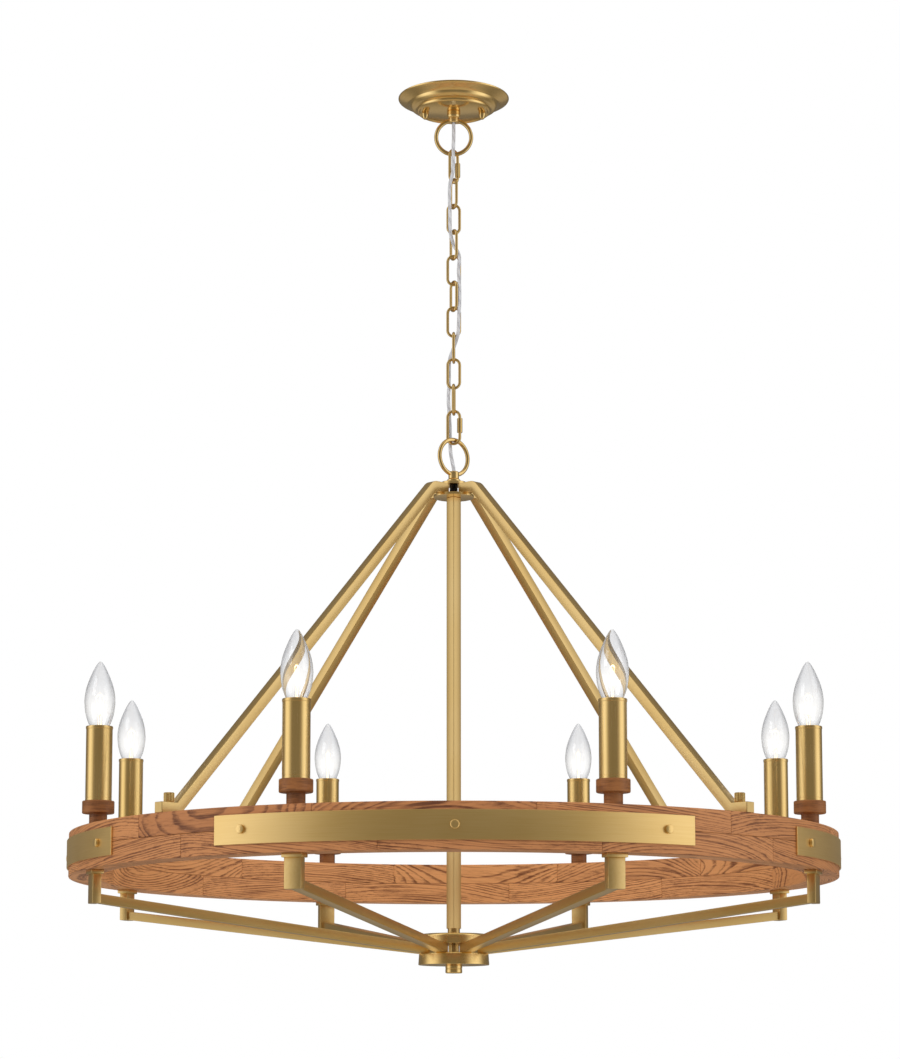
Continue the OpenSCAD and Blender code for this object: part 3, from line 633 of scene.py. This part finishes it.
def canopy_outline():
    """The canopy's section: down its outside from the rim to the hole, and back up its inside."""
    r, wall = CANOPY_R, CANOPY_WALL
    outside = [(r - 0.4, 0), (r, -0.4), (r, -1.1), (r - 0.4, -1.8), (r - 1.4, -2.4)]
    outside += [(64.5, -3.2), (62.0, -4.2), (59.5, -5.2), (57.6, -5.95), (56.0, -6.8)]
    outside += [(55.1, -7.6)] + arc(48.0, -6.6, 6.9, -12, -80, 14)
    outside += [(47.2, -13.6), (46.1, -14.0)] + arc(r * 0.633, -15.4, 2.6, 20, -90, 10)
    outside += [(r * 0.6, CANOPY_FACE + 0.55), (r * 0.58, CANOPY_FACE)]
    hole = [(CANOPY_BORE, CANOPY_FACE), (CANOPY_BORE, CANOPY_FACE + wall)]
    inside = [(r - 0.2 - wall, 0)] + [(x - wall, z + wall) for x, z in outside if z < -wall]
    return outside + hole + inside[::-1]


canopy = Shape().lathe(canopy_outline(), turns=128)
piece("canopy_dish", canopy, brass_spun, FIXING, ["canopy"], angle=40)


def ball_nut(x):
    """A knurled cap nut that ends in a ball. Every other column of its points is set in."""
    z, knurl = CANOPY_FACE, 0.22
    body = [(0, z), (4.0, z), (4.2, z - 0.3), (4.2, z - 5.6), (3.7, z - 6.3)]
    nut = Shape().lathe(body + arc(0, z - 6.5, 3.5, -2, -88, 12) + [(0, z - 10)], (x, 0, 0), 36)
    for i, p in enumerate(nut.points):
        d = math.hypot(p[0] - x, p[1])
        if d > 4.0 and i % 2:
            f = (d - knurl) / d
            nut.points[i] = (x + (p[0] - x) * f, p[1] * f, p[2])
    return nut


nuts = ball_nut(-SCREW_X).add(ball_nut(SCREW_X))
piece("canopy_ball_nuts", nuts, brass_wire, FIXING, ["canopy_cap_nuts"])


def thread(z_low, z_high, r, pitch, x=0.0, bore=0.0):
    """A rod with the rounded crests of a 60-degree thread, cut to flat ends."""
    steps = int((z_high - z_low) / pitch * 20)
    outline = []
    for k in range(steps + 1):
        z = z_low + (z_high - z_low) * k / steps
        wave = abs((z / pitch) % 1.0 - 0.5) * 2
        outline.append((r - 0.5 * pitch * (1 - wave) * 0.9, z))
    return Shape().lathe([(bore, z_low)] + outline + [(bore, z_high)], (x, 0, 0), 20)


studs = thread(CANOPY_FACE - 4.6, -0.1, 2.0, 0.7, -SCREW_X)
studs.add(thread(CANOPY_FACE - 4.6, -0.1, 2.0, 0.7, SCREW_X))
piece("threaded_studs", studs, zinc, FIXING, ["canopy_studs"])
rod = thread(CANOPY_FACE - 7.3, -0.6, 5.0, 1.0, 0, 3.2)
piece("threaded_nipple", rod, zinc, FIXING, ["top_nipple"])

# The nut and the collar under the canopy, in one turned piece
collar = Shape().lathe(eased([
    (3.0, -24.5), (5.0, -24.5), (5.0, -17.0), (7.6, -17.0), (8.2, -17.6, 0.3),
    (8.2, -22.6, 0.5), (7.4, -24.4, 0.4), (6.4, -25.2, 0.4), (6.4, -30.4, 0.6),
    (5.5, -31.3, 0.3), (3.0, -31.3)]), turns=64)
piece("loop_collar_top", collar, brass_turned, FIXING, ["top_collar"])


def wire_loop(z, turn, at_top):
    """A round loop of wire whose two ends sit in its collar, above it or below it."""
    gap = math.degrees(math.asin(4.8 / LOOP_R))  # half the angle that the collar hides
    start = (90 if at_top else -90) + gap
    path = [Vector((LOOP_R * math.cos(a), 0, LOOP_R * math.sin(a)))
            for a in (math.radians(start + (360 - 2 * gap) * k / 96) for k in range(97))]
    form = Shape().sweep(path, circle(LOOP_WIRE / 2, 24))
    return form.moved(turned_and_set(turn, z))


form = wire_loop(TOP_LOOP_Z, 0, True)
piece("hanging_loop_top", form, brass_wire, FIXING, ["top_loop"])
form = wire_loop(BOTTOM_LOOP_Z, 38, False)
piece("hanging_loop_bottom", form, brass_wire, WHEEL, ["bottom_loop"])

collar = Shape().lathe(eased([
    (3.0, -468.9), (5.6, -468.9, 0.3), (6.4, -469.8, 0.5), (6.4, -477.5, 0.5),
    (5.5, -478.4, 0.3), (5.0, -478.4), (5.0, -475.4), (3.0, -475.4)]), turns=64)
piece("loop_collar_bottom", collar, brass_turned, WHEEL, ["bottom_collar"])
# The washer that clamps the upper arms, and the nut on it
washer = Shape().lathe(eased([
    (5.1, -485.9), (15.6, -485.9, 0.4), (15.6, -482.2, 0.8), (8.2, -481.9), (8.2, -479.2, 0.4),
    (7.4, -478.5), (5.1, -478.5)]), turns=96)
piece("hub_washer", washer, brass_turned, WHEEL, ["bottom_collar"])

# ------------------------------------------------------------------ chain


def oval_bows(r, length, steps=24):
    """Middle lines of the two bows of an oval link in the X-Z plane, the upper one first."""
    reach = length / 2 - r
    upper = [Vector((x, 0, z)) for x, z in arc(0, reach, r, 0, 180, steps)]
    return upper, [-p for p in upper]


def link(name, body, z, turn, node):
    """A chain link: one wire bent to an oval."""
    upper, lower = oval_bows(LINK_R, LINK_LEN)
    path = [Vector((LINK_R, 0, 0)), *upper, Vector((-LINK_R, 0, 0)), *lower]
    form = Shape().sweep(path, circle(LINK_WIRE / 2, 20), closed=True)
    form.moved(turned_and_set(turn, z))
    piece(name, form, brass_wire, body, [node])


for k, turn in enumerate(LINK_TURNS):
    link(f"link_wire_{k + 1}", f"link_{k + 1}", LINK_TOP - k * LINK_PITCH - LINK_LEN / 2, turn,
         f"chain_link_{k + 1}")


def quick_link(which, z, turn, nut_z, gap_z):
    """A screwed link: wire bent round to a gap, closed by a long six-sided nut."""
    upper, lower = oval_bows(QUICK_R, QUICK_LEN)
    ends = [Vector((QUICK_R, 0, gap_z + side * 2.5)) for side in (1, -1)]
    path = [ends[0], *upper, *lower, ends[1]]
    placed = turned_and_set(turn, z)
    form = Shape().sweep(path, circle(QUICK_WIRE / 2, 20))
    form.moved(placed)
    piece(f"quick_link_{which}_wire", form, brass_wire,
          f"quick_link_{which}_body", [f"quick_link_{which}"])
    flats, length, bore = 6.6, 17.5, QUICK_WIRE / 2 + 0.05
    corner = flats / 2 / math.cos(math.pi / 6)
    loops = []
    for h, ease in ((0, 0.55), (0.35, 0.22), (0.9, 0), (length - 0.9, 0),
                    (length - 0.35, 0.22), (length, 0.55)):
        ring = []
        for i in range(6):
            for f in (-0.08, 0.08):
                a = math.radians(60 * i) + f
                flat = flats / 2 / math.cos((a + math.pi / 6) % (math.pi / 3) - math.pi / 6)
                r = min(corner * 0.985 - ease, flat)
                ring.append((r * math.cos(a), r * math.sin(a), h))
        loops.append(ring)
    for h in (length, 0):
        loops.append([(x, y, h) for x, y in circle(bore, 12)])
    nut = Shape().rings(loops, closed=True)
    nut.points = [(p[0] + QUICK_R, p[1], p[2] + nut_z - length / 2) for p in nut.points]
    nut.moved(placed)
    piece(f"quick_link_{which}_nut", nut, brass_wire, f"sleeve_nut_{which}",
          [f"quick_link_{which}_sleeve"])


quick_link("top", -86.75, 50, -3.2, -7.0)
quick_link("bottom", -414.05, -12, 2.1, 6.6)

# ------------------------------------------------------------------ upper frame

rod = thread(COLUMN_TOP - 11.9, -475.6, 5.0, 1.0, 0, 3.2)
piece("hub_threaded_rod", rod, black_paint, WHEEL, ["hub_nipple"])

disc = Shape().lathe(eased([
    (5.0, HUB_TOP), (HUB_R, HUB_TOP, 0.5), (HUB_R, COLUMN_TOP, 0.5), (5.0, COLUMN_TOP)]),
    turns=96)
piece("hub_disc", disc, brass_turned, WHEEL, ["top_hub_disc"])


def bent_bar(path, depth, width, ease, end_ease=0.5):
    """A bar with eased edges, bent in the X-Z plane. Its section leans into each bend's mitre."""
    section = rounded_box(width, depth, ease)
    at = [Vector((x, 0, z)) for x, z in path]
    ends = []
    for a, b in ((at[0], at[1]), (at[-1], at[-2])):
        ends.append(a + (b - a).normalized() * end_ease)
    full = [at[0], ends[0], *at[1:-1], ends[1], at[-1]]
    loops, last = [], len(full) - 1
    for k, p in enumerate(full):
        into = (full[k] - full[k - 1]).normalized() if k else (full[1] - full[0]).normalized()
        out = (full[k + 1] - full[k]).normalized() if k < last else into
        n1, n2 = Vector((-into.z, 0, into.x)), Vector((-out.z, 0, out.x))
        m = (n1 + n2).normalized()
        m = m / m.dot(n1)
        scale = 1 - end_ease / (depth / 2) if k in (0, last) else 1
        loops.append([p + m * (v * scale) + Vector((0, u * scale, 0)) for u, v in section])
    return Shape().rings(loops)


def quadratic_bend(a, b, c, r, n=5):
    """Points round the corner at b of a path from a to c, rounded by r."""
    a, b, c = Vector(a), Vector(b), Vector(c)
    into, out = (b - a).normalized(), (c - b).normalized()
    reach = r * math.tan(math.acos(into.dot(out)) / 2)
    p, q = b - into * reach, b + out * reach
    return [tuple((1 - k / n) ** 2 * p + 2 * k / n * (1 - k / n) * b + (k / n) ** 2 * q)
            for k in range(n + 1)]


HIGH, LOW = HUB_TOP + 6.0, RING_TOP + 6.0
HUB_BEND, FOOT_BEND, FOOT_NUT = 37.0, 429.0, 438.6  # their distances from the lamp's axis
inner_end, knee, heel = (14.0, HIGH), (HUB_BEND, HIGH), (FOOT_BEND, LOW)
upper_path = [inner_end, *quadratic_bend(inner_end, knee, heel, 9), heel, (453.5, LOW)]
for k, angle in enumerate(ARM_ANGLES):
    arm = bent_bar(upper_path, 12.0, 12.7, 0.7)
    marks = brushed_along(arm, (FOOT_BEND - HUB_BEND, 0, LOW - HIGH))
    arm.around([angle])
    piece(f"upper_frame_arm_{k + 1}", arm, brass_bar, WHEEL,
          [f"upper_arm_{k + 1}"], marks, angle=28)


def knurled_nut():
    """The fluted thumb nut on an upper arm's foot, with its screw's domed end."""
    z = RING_TOP + 12.0
    flutes, steps = 24, 6
    loops = []
    for r, h, cut in ((0.0, 0, 0), (5.0, 0, 0), (5.5, 0.15, 0.1), (6.0, 0.8, 0.55),
                      (6.0, 10.0, 0.55), (5.6, 10.6, 0.2), (5.1, 10.8, 0), (3.2, 10.8, 0),
                      (2.9, 10.3, 0), (2.4, 10.35, 0), (0.0, 10.7, 0)):
        if r == 0:
            loops.append([Vector((FOOT_NUT, 0, z + h))])
            continue
        ring = []
        for k in range(flutes * steps):
            a = math.tau * k / (flutes * steps)
            dip = (0.5 - 0.5 * math.cos(math.tau * k / steps)) ** 2
            d = r - cut * dip
            ring.append(Vector((FOOT_NUT + d * math.cos(a), d * math.sin(a), z + h)))
        loops.append(ring)
    return Shape().rings(loops, caps=False)


nuts = knurled_nut()
nuts.add(Shape().lathe([(0, RING_TOP - 24.8), (2.45, RING_TOP - 24.8), (2.45, RING_TOP + 11.9),
                        (0, RING_TOP + 11.9)], (FOOT_NUT, 0, 0), 24))
nuts.around(ARM_ANGLES)
piece("foot_thumb_nuts", nuts, brass_turned, WHEEL, ["foot_nuts"])

column = Shape().rings([
    [Vector((u * s, v * s, z)) for u, v in rounded_box(12.7, 12.7, 0.8)]
    for s, z in ((0.93, COLUMN_TOP), (1, COLUMN_TOP - 0.4), (1, COLUMN_BOTTOM + 0.4),
                 (0.93, COLUMN_BOTTOM))])
column.moved(turned_and_set(45, 0))
column.add(Shape().lathe(eased([
    (0, COLUMN_BOTTOM + 0.5), (7.25, COLUMN_BOTTOM + 0.5), (7.25, CAP_TOP + 0.3),
    (0, CAP_TOP + 0.3)]), turns=48))
piece("square_column", column, brass_column, WHEEL, ["centre_column"], angle=28)

# ------------------------------------------------------------------ lower hub and arms

disc = Shape().lathe([(5.0, CAP_BOTTOM), (40.6, CAP_BOTTOM), (41.0, CAP_BOTTOM + 0.4)]
                     + arc(37.0, CAP_TOP - 4.0, 4.0, 0, 90, 10) + [(5.0, CAP_TOP)], turns=128)
piece("lower_hub_cap", disc, brass_turned, WHEEL, ["lower_hub_top_disc"])
disc = Shape().lathe(eased([
    (5.0, PLATE_BOTTOM), (42.0, PLATE_BOTTOM, 0.5), (42.0, -1063.4), (41.3, -1052.3, 1.0),
    (40.0, PLATE_TOP, 0.6), (5.0, PLATE_TOP)]), turns=128)
piece("lower_hub_plate", disc, brass_turned, WHEEL, ["lower_hub_bottom_disc"])
rod = thread(-1070.6, -1019.8, 4.95, 1.0, 0, 3.2)
piece("lower_hub_threaded_rod", rod, black_paint, WHEEL, ["lower_hub_post"])
spacer = Shape().lathe(eased([
    (5.1, PLATE_TOP + 0.1), (6.3, PLATE_TOP + 0.1, 0.3), (6.3, CAP_BOTTOM - 0.1, 0.3),
    (5.1, CAP_BOTTOM - 0.1)]), turns=48)
piece("lower_hub_spacer", spacer, brass_upright, WHEEL, ["lower_hub_post"])
knob = Shape().lathe([
    (0, PLATE_BOTTOM), (9.4, PLATE_BOTTOM), (10, -1065.3), (10, -1068.6), (9.7, -1069.0),
    (9.7, -1069.5), (10, -1069.9), (10, -1073.5), (9.3, -1074.3), (0, -1074.3)], turns=64)
piece("bottom_knob", knob, brass_turned, WHEEL, ["bottom_finial"])


def upright_box(x, w, t, z_low, z_high, ease):
    """A box with eased edges: t deep along x, w wide along y."""
    loops = []
    for z, inset in ((z_low, ease), (z_low + ease * 0.3, ease * 0.3), (z_low + ease, 0),
                     (z_high - ease, 0), (z_high - ease * 0.3, ease * 0.3), (z_high, ease)):
        loops.append([Vector((x + u, v, z))
                      for u, v in rounded_box(t - 2 * inset, w - 2 * inset, max(ease, 0.2))])
    return Shape().rings(loops)


DROP_BOTTOM = RING_BOTTOM - 38
LOWER_BEND = 46.0
lower_path = [(DROP_R - 4.0, DROP_BOTTOM + 5.6), (LOWER_BEND, LOWER_AXIS), (33.0, LOWER_AXIS)]
for k, angle in enumerate(LAMP_ANGLES):
    # The flange, the drop tube and the sloping bar
    arm = upright_box(DROP_R, 24.4, 14.6, RING_BOTTOM - 4.6, RING_BOTTOM, 0.6)
    arm.add(upright_box(DROP_R, 20.0, 10.0, DROP_BOTTOM, RING_BOTTOM - 4.3, 0.8))
    arm.add(bent_bar(lower_path, 10.6, 13.0, 0.7, 0.3))
    marks = brushed_along(arm, (DROP_R - LOWER_BEND, 0, DROP_BOTTOM - LOWER_AXIS))
    arm.around([angle])
    piece(f"lower_frame_arm_{k + 1}", arm, brass_bar, WHEEL,
          [f"lower_arm_{k + 1}"], marks, angle=28)

# ------------------------------------------------------------------ wooden ring

STAVES = 12
UPPER_JOINT, LOWER_JOINT = 10.8, 19.8  # degrees from the front to each course's next joint
JOINT_HALF_GAP, JOINT_EASE = 0.14, 0.25
HALF_DEPTH, HALF_HEIGHT = 17.5, 12.7  # of a stave, for the easing of its ends


def wooden_course(name, z_low, z_high, joint, node, seed):
    """One course of the ring: staves with eased edges, each cut from its own place in a log.
    The staves at the front are darker: painted shade, added to each stave's random tone."""
    rng = random.Random(seed)
    form, grain, tone = Shape(), [], []
    gap, ease = math.degrees(JOINT_HALF_GAP / RING_R), math.degrees(JOINT_EASE / RING_R)
    steps = 20
    section = rounded_box(RING_OUT - RING_IN, z_high - z_low, 0.8)
    middle = (z_low + z_high) / 2
    for i in range(STAVES):
        start = -90 + joint + i * 360 / STAVES
        flip = rng.choice((-1, 1))
        sawn, depth = math.radians(rng.uniform(5, 88)), rng.uniform(0.030, 0.075)
        core = Vector((rng.uniform(-0.05, 0.05), depth * math.cos(sawn) * rng.choice((-1, 1)),
                       depth * math.sin(sawn) * rng.choice((-1, 1))))
        tilt = rng.uniform(-0.10, 0.10)
        # Painted shade: staves towards the front get a darker tone, on top of each stave's random
        # tone.
        front = 0.5 - 0.5 * math.sin(math.radians(start + 180 / STAVES))
        shade = 0.4 * rng.random() + 0.6 * front
        loops = []
        for k in range(-1, steps + 2):
            f = min(max(k, 0), steps) / steps
            edge = JOINT_EASE if k in (-1, steps + 1) else 0
            a = start + gap + (360 / STAVES - 2 * gap) * f
            if k in (0, steps):
                a += ease if k == 0 else -ease
            loop = []
            for u, v in section:
                r = RING_R + u * (1 - edge / HALF_DEPTH)
                z = middle + v * (1 - edge / HALF_HEIGHT)
                loop.append(polar(r, a, z))
                along = math.radians(360 / STAVES) * RING_R * (f - 0.5) * MM * flip
                flat = u * MM + along * along * 1.1
                grain += [along + core.x + i * 0.37, flat + core.y,
                          v * MM + core.z + along * tilt]
                tone.append(shade)
            loops.append(loop)
        form.rings(loops)
    piece(name, form, stained_oak, WHEEL, [node],
          {"grain": ("FLOAT_VECTOR", grain), "stave_tone_and_shade": ("FLOAT", tone)}, angle=40)


wooden_course("wood_ring_upper", RING_MIDDLE + 0.08, RING_TOP, UPPER_JOINT, "ring_upper_course", 5)
wooden_course("wood_ring_lower", RING_BOTTOM, RING_MIDDLE - 0.08, LOWER_JOINT,
              "ring_lower_course", 23)

# ------------------------------------------------------------------ straps and pins

straps = Shape()
section = rounded_box(STRAP_T - 0.1, STRAP_H, 0.45)
middle_r = RING_OUT + 0.1 + (STRAP_T - 0.1) / 2
steps = 60
for centre in STRAP_ANGLES:
    loops = []
    for k in range(-1, steps + 2):
        f = min(max(k, 0), steps) / steps
        thin, low = (0.8, 0.99) if k in (-1, steps + 1) else (1, 1)  # eases both ends
        a = centre - STRAP_HALF + 2 * STRAP_HALF * f
        if k in (0, steps):
            a += 0.05 if k == 0 else -0.05
        loops.append([polar(middle_r + u * thin, a, STRAP_Z + v * low) for u, v in section])
    straps.rings(loops)
piece("curved_straps", straps, brass_strap, WHEEL, ["ring_straps"], angle=28)

pins = Shape()
outward = Matrix(((0, 0, 1), (0, 1, 0), (-1, 0, 0)))  # turns the z axis to x
pin_outline = eased([(0, -20), (2.45, -20, 0.3), (2.45, 0.12), (4.5, 0.12, 0.2), (4.8, 0.5, 0.2),
                     (4.8, 3.1, 0.5), (4.2, 3.7, 0.3), (2.2, 4.1, 0.5), (0, 4.2)])
for centre in STRAP_ANGLES:
    for turn in PIN_TURNS:
        pin = Shape().lathe(pin_outline, (RING_OUT + STRAP_T, 0, STRAP_Z), 40, outward)
        pins.add(pin.around([centre + turn]))
piece("strap_pin_heads", pins, brass_pin, WHEEL, ["strap_pins"])

# ------------------------------------------------------------------ candle lamps

CUP_NECK_TOP = RING_TOP + 13.1
lamp_at = polar(RING_R, 0)

cups = Shape().lathe(eased([
    (4.0, RING_TOP + 0.05), (10.9, RING_TOP + 0.05, 0.3), (10.2, RING_TOP + 1.2, 0.5),
    (10.2, CUP_NECK_TOP - 0.9, 0.6), (11.4, CUP_NECK_TOP, 0.4), (18.3, CUP_NECK_TOP, 1.4),
    (18.3, CUP_TOP, 1.3), (4.0, CUP_TOP)]), lamp_at, 72).around(LAMP_ANGLES)
piece("turned_cups", cups, cup_oak, WHEEL, ["candle_cups"])


def sleeve_outline():
    """A candle sleeve's section, with a groove near its foot and a rolled rim."""
    r, foot, rim = SLEEVE_R, CUP_TOP, SLEEVE_TOP
    return [(r - 1.0, foot + 0.05), (r, foot + 0.05), (r, foot + 3.0), (r - 0.15, foot + 3.1),
            (r - 0.15, foot + 3.5), (r, foot + 3.6), (r, rim - 3.5), (r + 0.1, rim - 3.4),
            (r + 0.35, rim - 3.2), (r + 0.4, rim - 2.8), (r + 0.4, rim - 0.7),
            (r + 0.2, rim - 0.2), (r - 0.2, rim), (r - 0.7, rim), (r - 1.0, rim - 0.3)]


sleeves = Shape().lathe(sleeve_outline(), lamp_at, 72).around(LAMP_ANGLES)
piece("candle_tubes", sleeves, brass_upright, WHEEL, ["candle_sleeves"])

rods = thread(RING_BOTTOM - 4.5, SLEEVE_TOP - 45.2, 3.98, 1.0, RING_R, 2.8)
rods.around(LAMP_ANGLES)
piece("lamp_threaded_rods", rods, zinc, WHEEL, ["candle_rods"])

SOCKET_TOP = SLEEVE_TOP - 11
SOCKET_FOOT = SOCKET_TOP - 34
sockets = Shape().lathe(eased([
    (6.2, SOCKET_TOP - 16), (6.2, SOCKET_TOP), (10.4, SOCKET_TOP, 0.8),
    (11.0, SOCKET_TOP - 2, 0.3), (11.0, SOCKET_FOOT + 0.6, 0.5), (10.2, SOCKET_FOOT, 0.3),
    (4.0, SOCKET_FOOT), (4.0, SOCKET_TOP - 30), (0.8, SOCKET_TOP - 30), (0.8, SOCKET_TOP - 16)]),
    lamp_at, 48).around(LAMP_ANGLES)
piece("socket_bodies", sockets, glaze, WHEEL, ["candle_sockets"])

BULB_Z = SLEEVE_TOP + 0.3
GLASS_OUTLINE = [
    (5.4, -11.8), (6.9, -10.4), (8.2, -6.0), (10.2, -2.0), (12.4, 2.5), (14.8, 9.0),
    (16.6, 17.0), (17.4, 25.0), (17.5, 29.0), (17.2, 34.0), (16.1, 41.0), (13.9, 49.0),
    (10.6, 57.5), (7.2, 65.0), (4.2, 70.5), (1.8, 73.6), (0.0, 74.4)]
FILAMENT_HALF, FILAMENT_H = 4.8, 33.0


def bulb_glass():
    """The candle lamp's clear envelope, open at its neck, and the glass stem inside it."""
    wall = 0.55
    outside = [(max(p.x, 0.0), p.z) for p in
               smooth_route([(r, 0, h) for r, h in GLASS_OUTLINE], 3)]
    inside = []
    for i, (r, h) in enumerate(outside[:-1]):
        a, b = Vector(outside[max(i - 1, 0)]), Vector(outside[i + 1])
        n = (b - a).normalized()
        inside.append((max(r - wall * n.y, 0.05), h + wall * n.x))
    form = Shape().lathe([(0, GLASS_OUTLINE[-1][1] - wall)] + inside[::-1] + outside, turns=56)
    stem = [(0, -10.5), (4.4, -10.5), (3.7, -4), (2.3, 5), (1.9, 11), (1.2, 13.2), (0, 13.6)]
    return form.add(Shape().lathe(stem, turns=20))


def bulb_base():
    """The lamp's screw shell, drawn in to its end contact."""
    outline = [(0, -26.5), (1.6, -26.4), (2.6, -25.8), (3.2, -25.2), (5.0, -24.2)]
    turns, each = 5, 8
    for k in range(turns * each + 1):
        f = k / (turns * each)
        outline.append((5.65 + 0.22 * math.cos(math.tau * turns * f), -23.3 + 11.2 * f))
    outline += [(5.9, -11.4), (5.9, -10.6), (5.5, -10.4), (5.2, -11.0), (0, -11.6)]
    return Shape().lathe(outline, turns=36)


def bulb_wires():
    """Two lead wires out of the stem, a coiled filament between them, and its support."""
    form = Shape()
    for side in (-1, 1):
        lead = smooth_route([(side * 1.1, 0, -9), (side * 1.1, 0, 9), (side * 1.4, 0, 15),
                             (side * 4.0, 0, 27), (side * FILAMENT_HALF, 0, FILAMENT_H)], 5)
        form.sweep(lead, circle(0.28, 6))
    form.sweep([Vector((0, 0.2, 12)), Vector((0, 0.6, FILAMENT_H + 2.0))], circle(0.2, 6))
    coil, turns, each = [], 22, 8
    for k in range(turns * each + 1):
        f = 2 * k / (turns * each) - 1
        a = math.tau * k / each
        coil.append(Vector((FILAMENT_HALF * f, 0.6 * math.cos(a),
                            FILAMENT_H + 2.6 * (1 - f * f) + 0.6 * math.sin(a))))
    return form.sweep(coil, circle(0.16, 5), (0.05, 1, 0.1))


glass = lamp_glass(BULB_Z * MM, (BULB_Z + 52) * MM)
for k, angle in enumerate(LAMP_ANGLES, 1):
    placed = turned_and_set(angle, BULB_Z) @ Matrix.Translation((RING_R, 0, 0))
    for part, form, material, slot in (
            ("glass", bulb_glass(), glass, "glass"), ("base", bulb_base(), nickel, "steel"),
            ("filament", bulb_wires(), hot_wire, "steel")):
        form.moved(placed)
        piece(f"bulb_{k}_{part}", form, material, f"lamp_{k}", [f"bulb_{k}"], angle=60)

# ------------------------------------------------------------------ CAD pieces that stay

for node, material in (("ceiling_crossbar", zinc), ("lamp_wires", clear_jacket)):
    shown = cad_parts[node]
    shown.data.materials.clear()
    shown.data.materials.append(material)

# ------------------------------------------------------------------ studio

FILL = 0.76  # the surround's strength for matt surfaces
DIM, PANEL = 0.205, 0.94  # what metal sees of the dim studio, and of its panels
WHITE, WARM = (1, 1, 1), (1, 0.91, 0.74)
WHEEL_MIDDLE = Vector((0, 0, -0.9))
FLOOR_Z = -2100


def surround():
    """White to the eye. Metal sees a dim warm studio with a tall bright panel on either side."""
    world = bpy.data.worlds.new("studio")
    bpy.context.scene.world = world
    world.use_nodes = True
    n = Nodes(world.node_tree)
    x, y, z = n.parts(n.node("ShaderNodeTexCoord", {}, {}, "Generated"))
    turn = x.math("ABSOLUTE").math("ARCTAN2", y * -1)  # 0 in front of the lamp, pi behind it
    panel = turn.rise(0.58, 1.25) * (1 - turn.rise(1.42, 2.05))
    panel = panel * z.rise(-0.95, -0.45) * (1 - z.rise(0.80, 0.98))
    behind = turn.rise(1.9, 2.7)
    low = z.rise(-0.70, -0.40) * (1 - z.rise(-0.31, -0.22))
    high = z.rise(0.30, 0.80) * 0.06 + z.rise(0.84, 0.97) * 0.45
    under = (1 - z.rise(-0.95, -0.60)) * 0.30
    dim = DIM - behind * 0.04 + behind * low * 0.23 + high + under

    def light(strength, colour=WHITE):
        return n.node("ShaderNodeBackground", {}, {"Color": colour, "Strength": strength})

    studio = light(dim + panel * PANEL, n.mix(panel, WARM, WHITE))
    shown = light(FILL)
    for ray, look in (("Is Glossy Ray", studio), ("Is Transmission Ray", light(1.0)),
                      ("Is Camera Ray", light(1.0))):
        asked = n.node("ShaderNodeLightPath", {}, {}, ray)
        shown = n.blend(asked, shown, look)
    n.feed(n.tree.nodes["World Output"].inputs["Surface"], shown)


def soft_light(name, where, size, power):
    """A square light that looks at the wheel and shows in no reflection. Lengths in metres."""
    data = bpy.data.lights.new(name, "AREA")
    data.size, data.energy = size, power
    lamp = bpy.data.objects.new(name, data)
    bpy.context.scene.collection.objects.link(lamp)
    lamp.location = where
    aim = WHEEL_MIDDLE - Vector(where)
    lamp.rotation_euler = aim.to_track_quat("-Z", "Y").to_euler()
    lamp.visible_glossy = False


def pale_floor():
    """A floor far below the lamp that takes its shadow and fades into the white."""
    p = Paint("pale_floor", Base_Color=(0.86, 0.86, 0.86), Roughness=0.9)
    x, y, _ = p.parts(p.place())
    far = ((x * x + y * y) ** 0.5).rise(0.9, 2.6)
    clear = p.node("ShaderNodeBsdfTransparent", {}, {})
    shown = p.blend(far, Channel(p, p.surface.outputs[0]), clear)
    p.feed(p.tree.nodes["Material Output"].inputs["Surface"], shown)
    rings = [[polar(r, 360 * k / 64, FLOOR_Z) for k in range(64)] for r in (3000, 1200, 300)]
    floor = Shape().rings([*rings, [(0, 0, FLOOR_Z)]], caps=False)
    made = piece("floor", floor, p.material, None)
    made.visible_glossy = False


surround()
soft_light("key_light", (-2.2, -2.0, 0.9), 1.6, 33)
soft_light("fill_light", (2.4, -1.6, 0.5), 1.8, 19)
soft_light("top_light", (0.2, 0.6, 1.6), 2.2, 22)
pale_floor()
bpy.context.scene.view_settings.view_transform = "Standard"
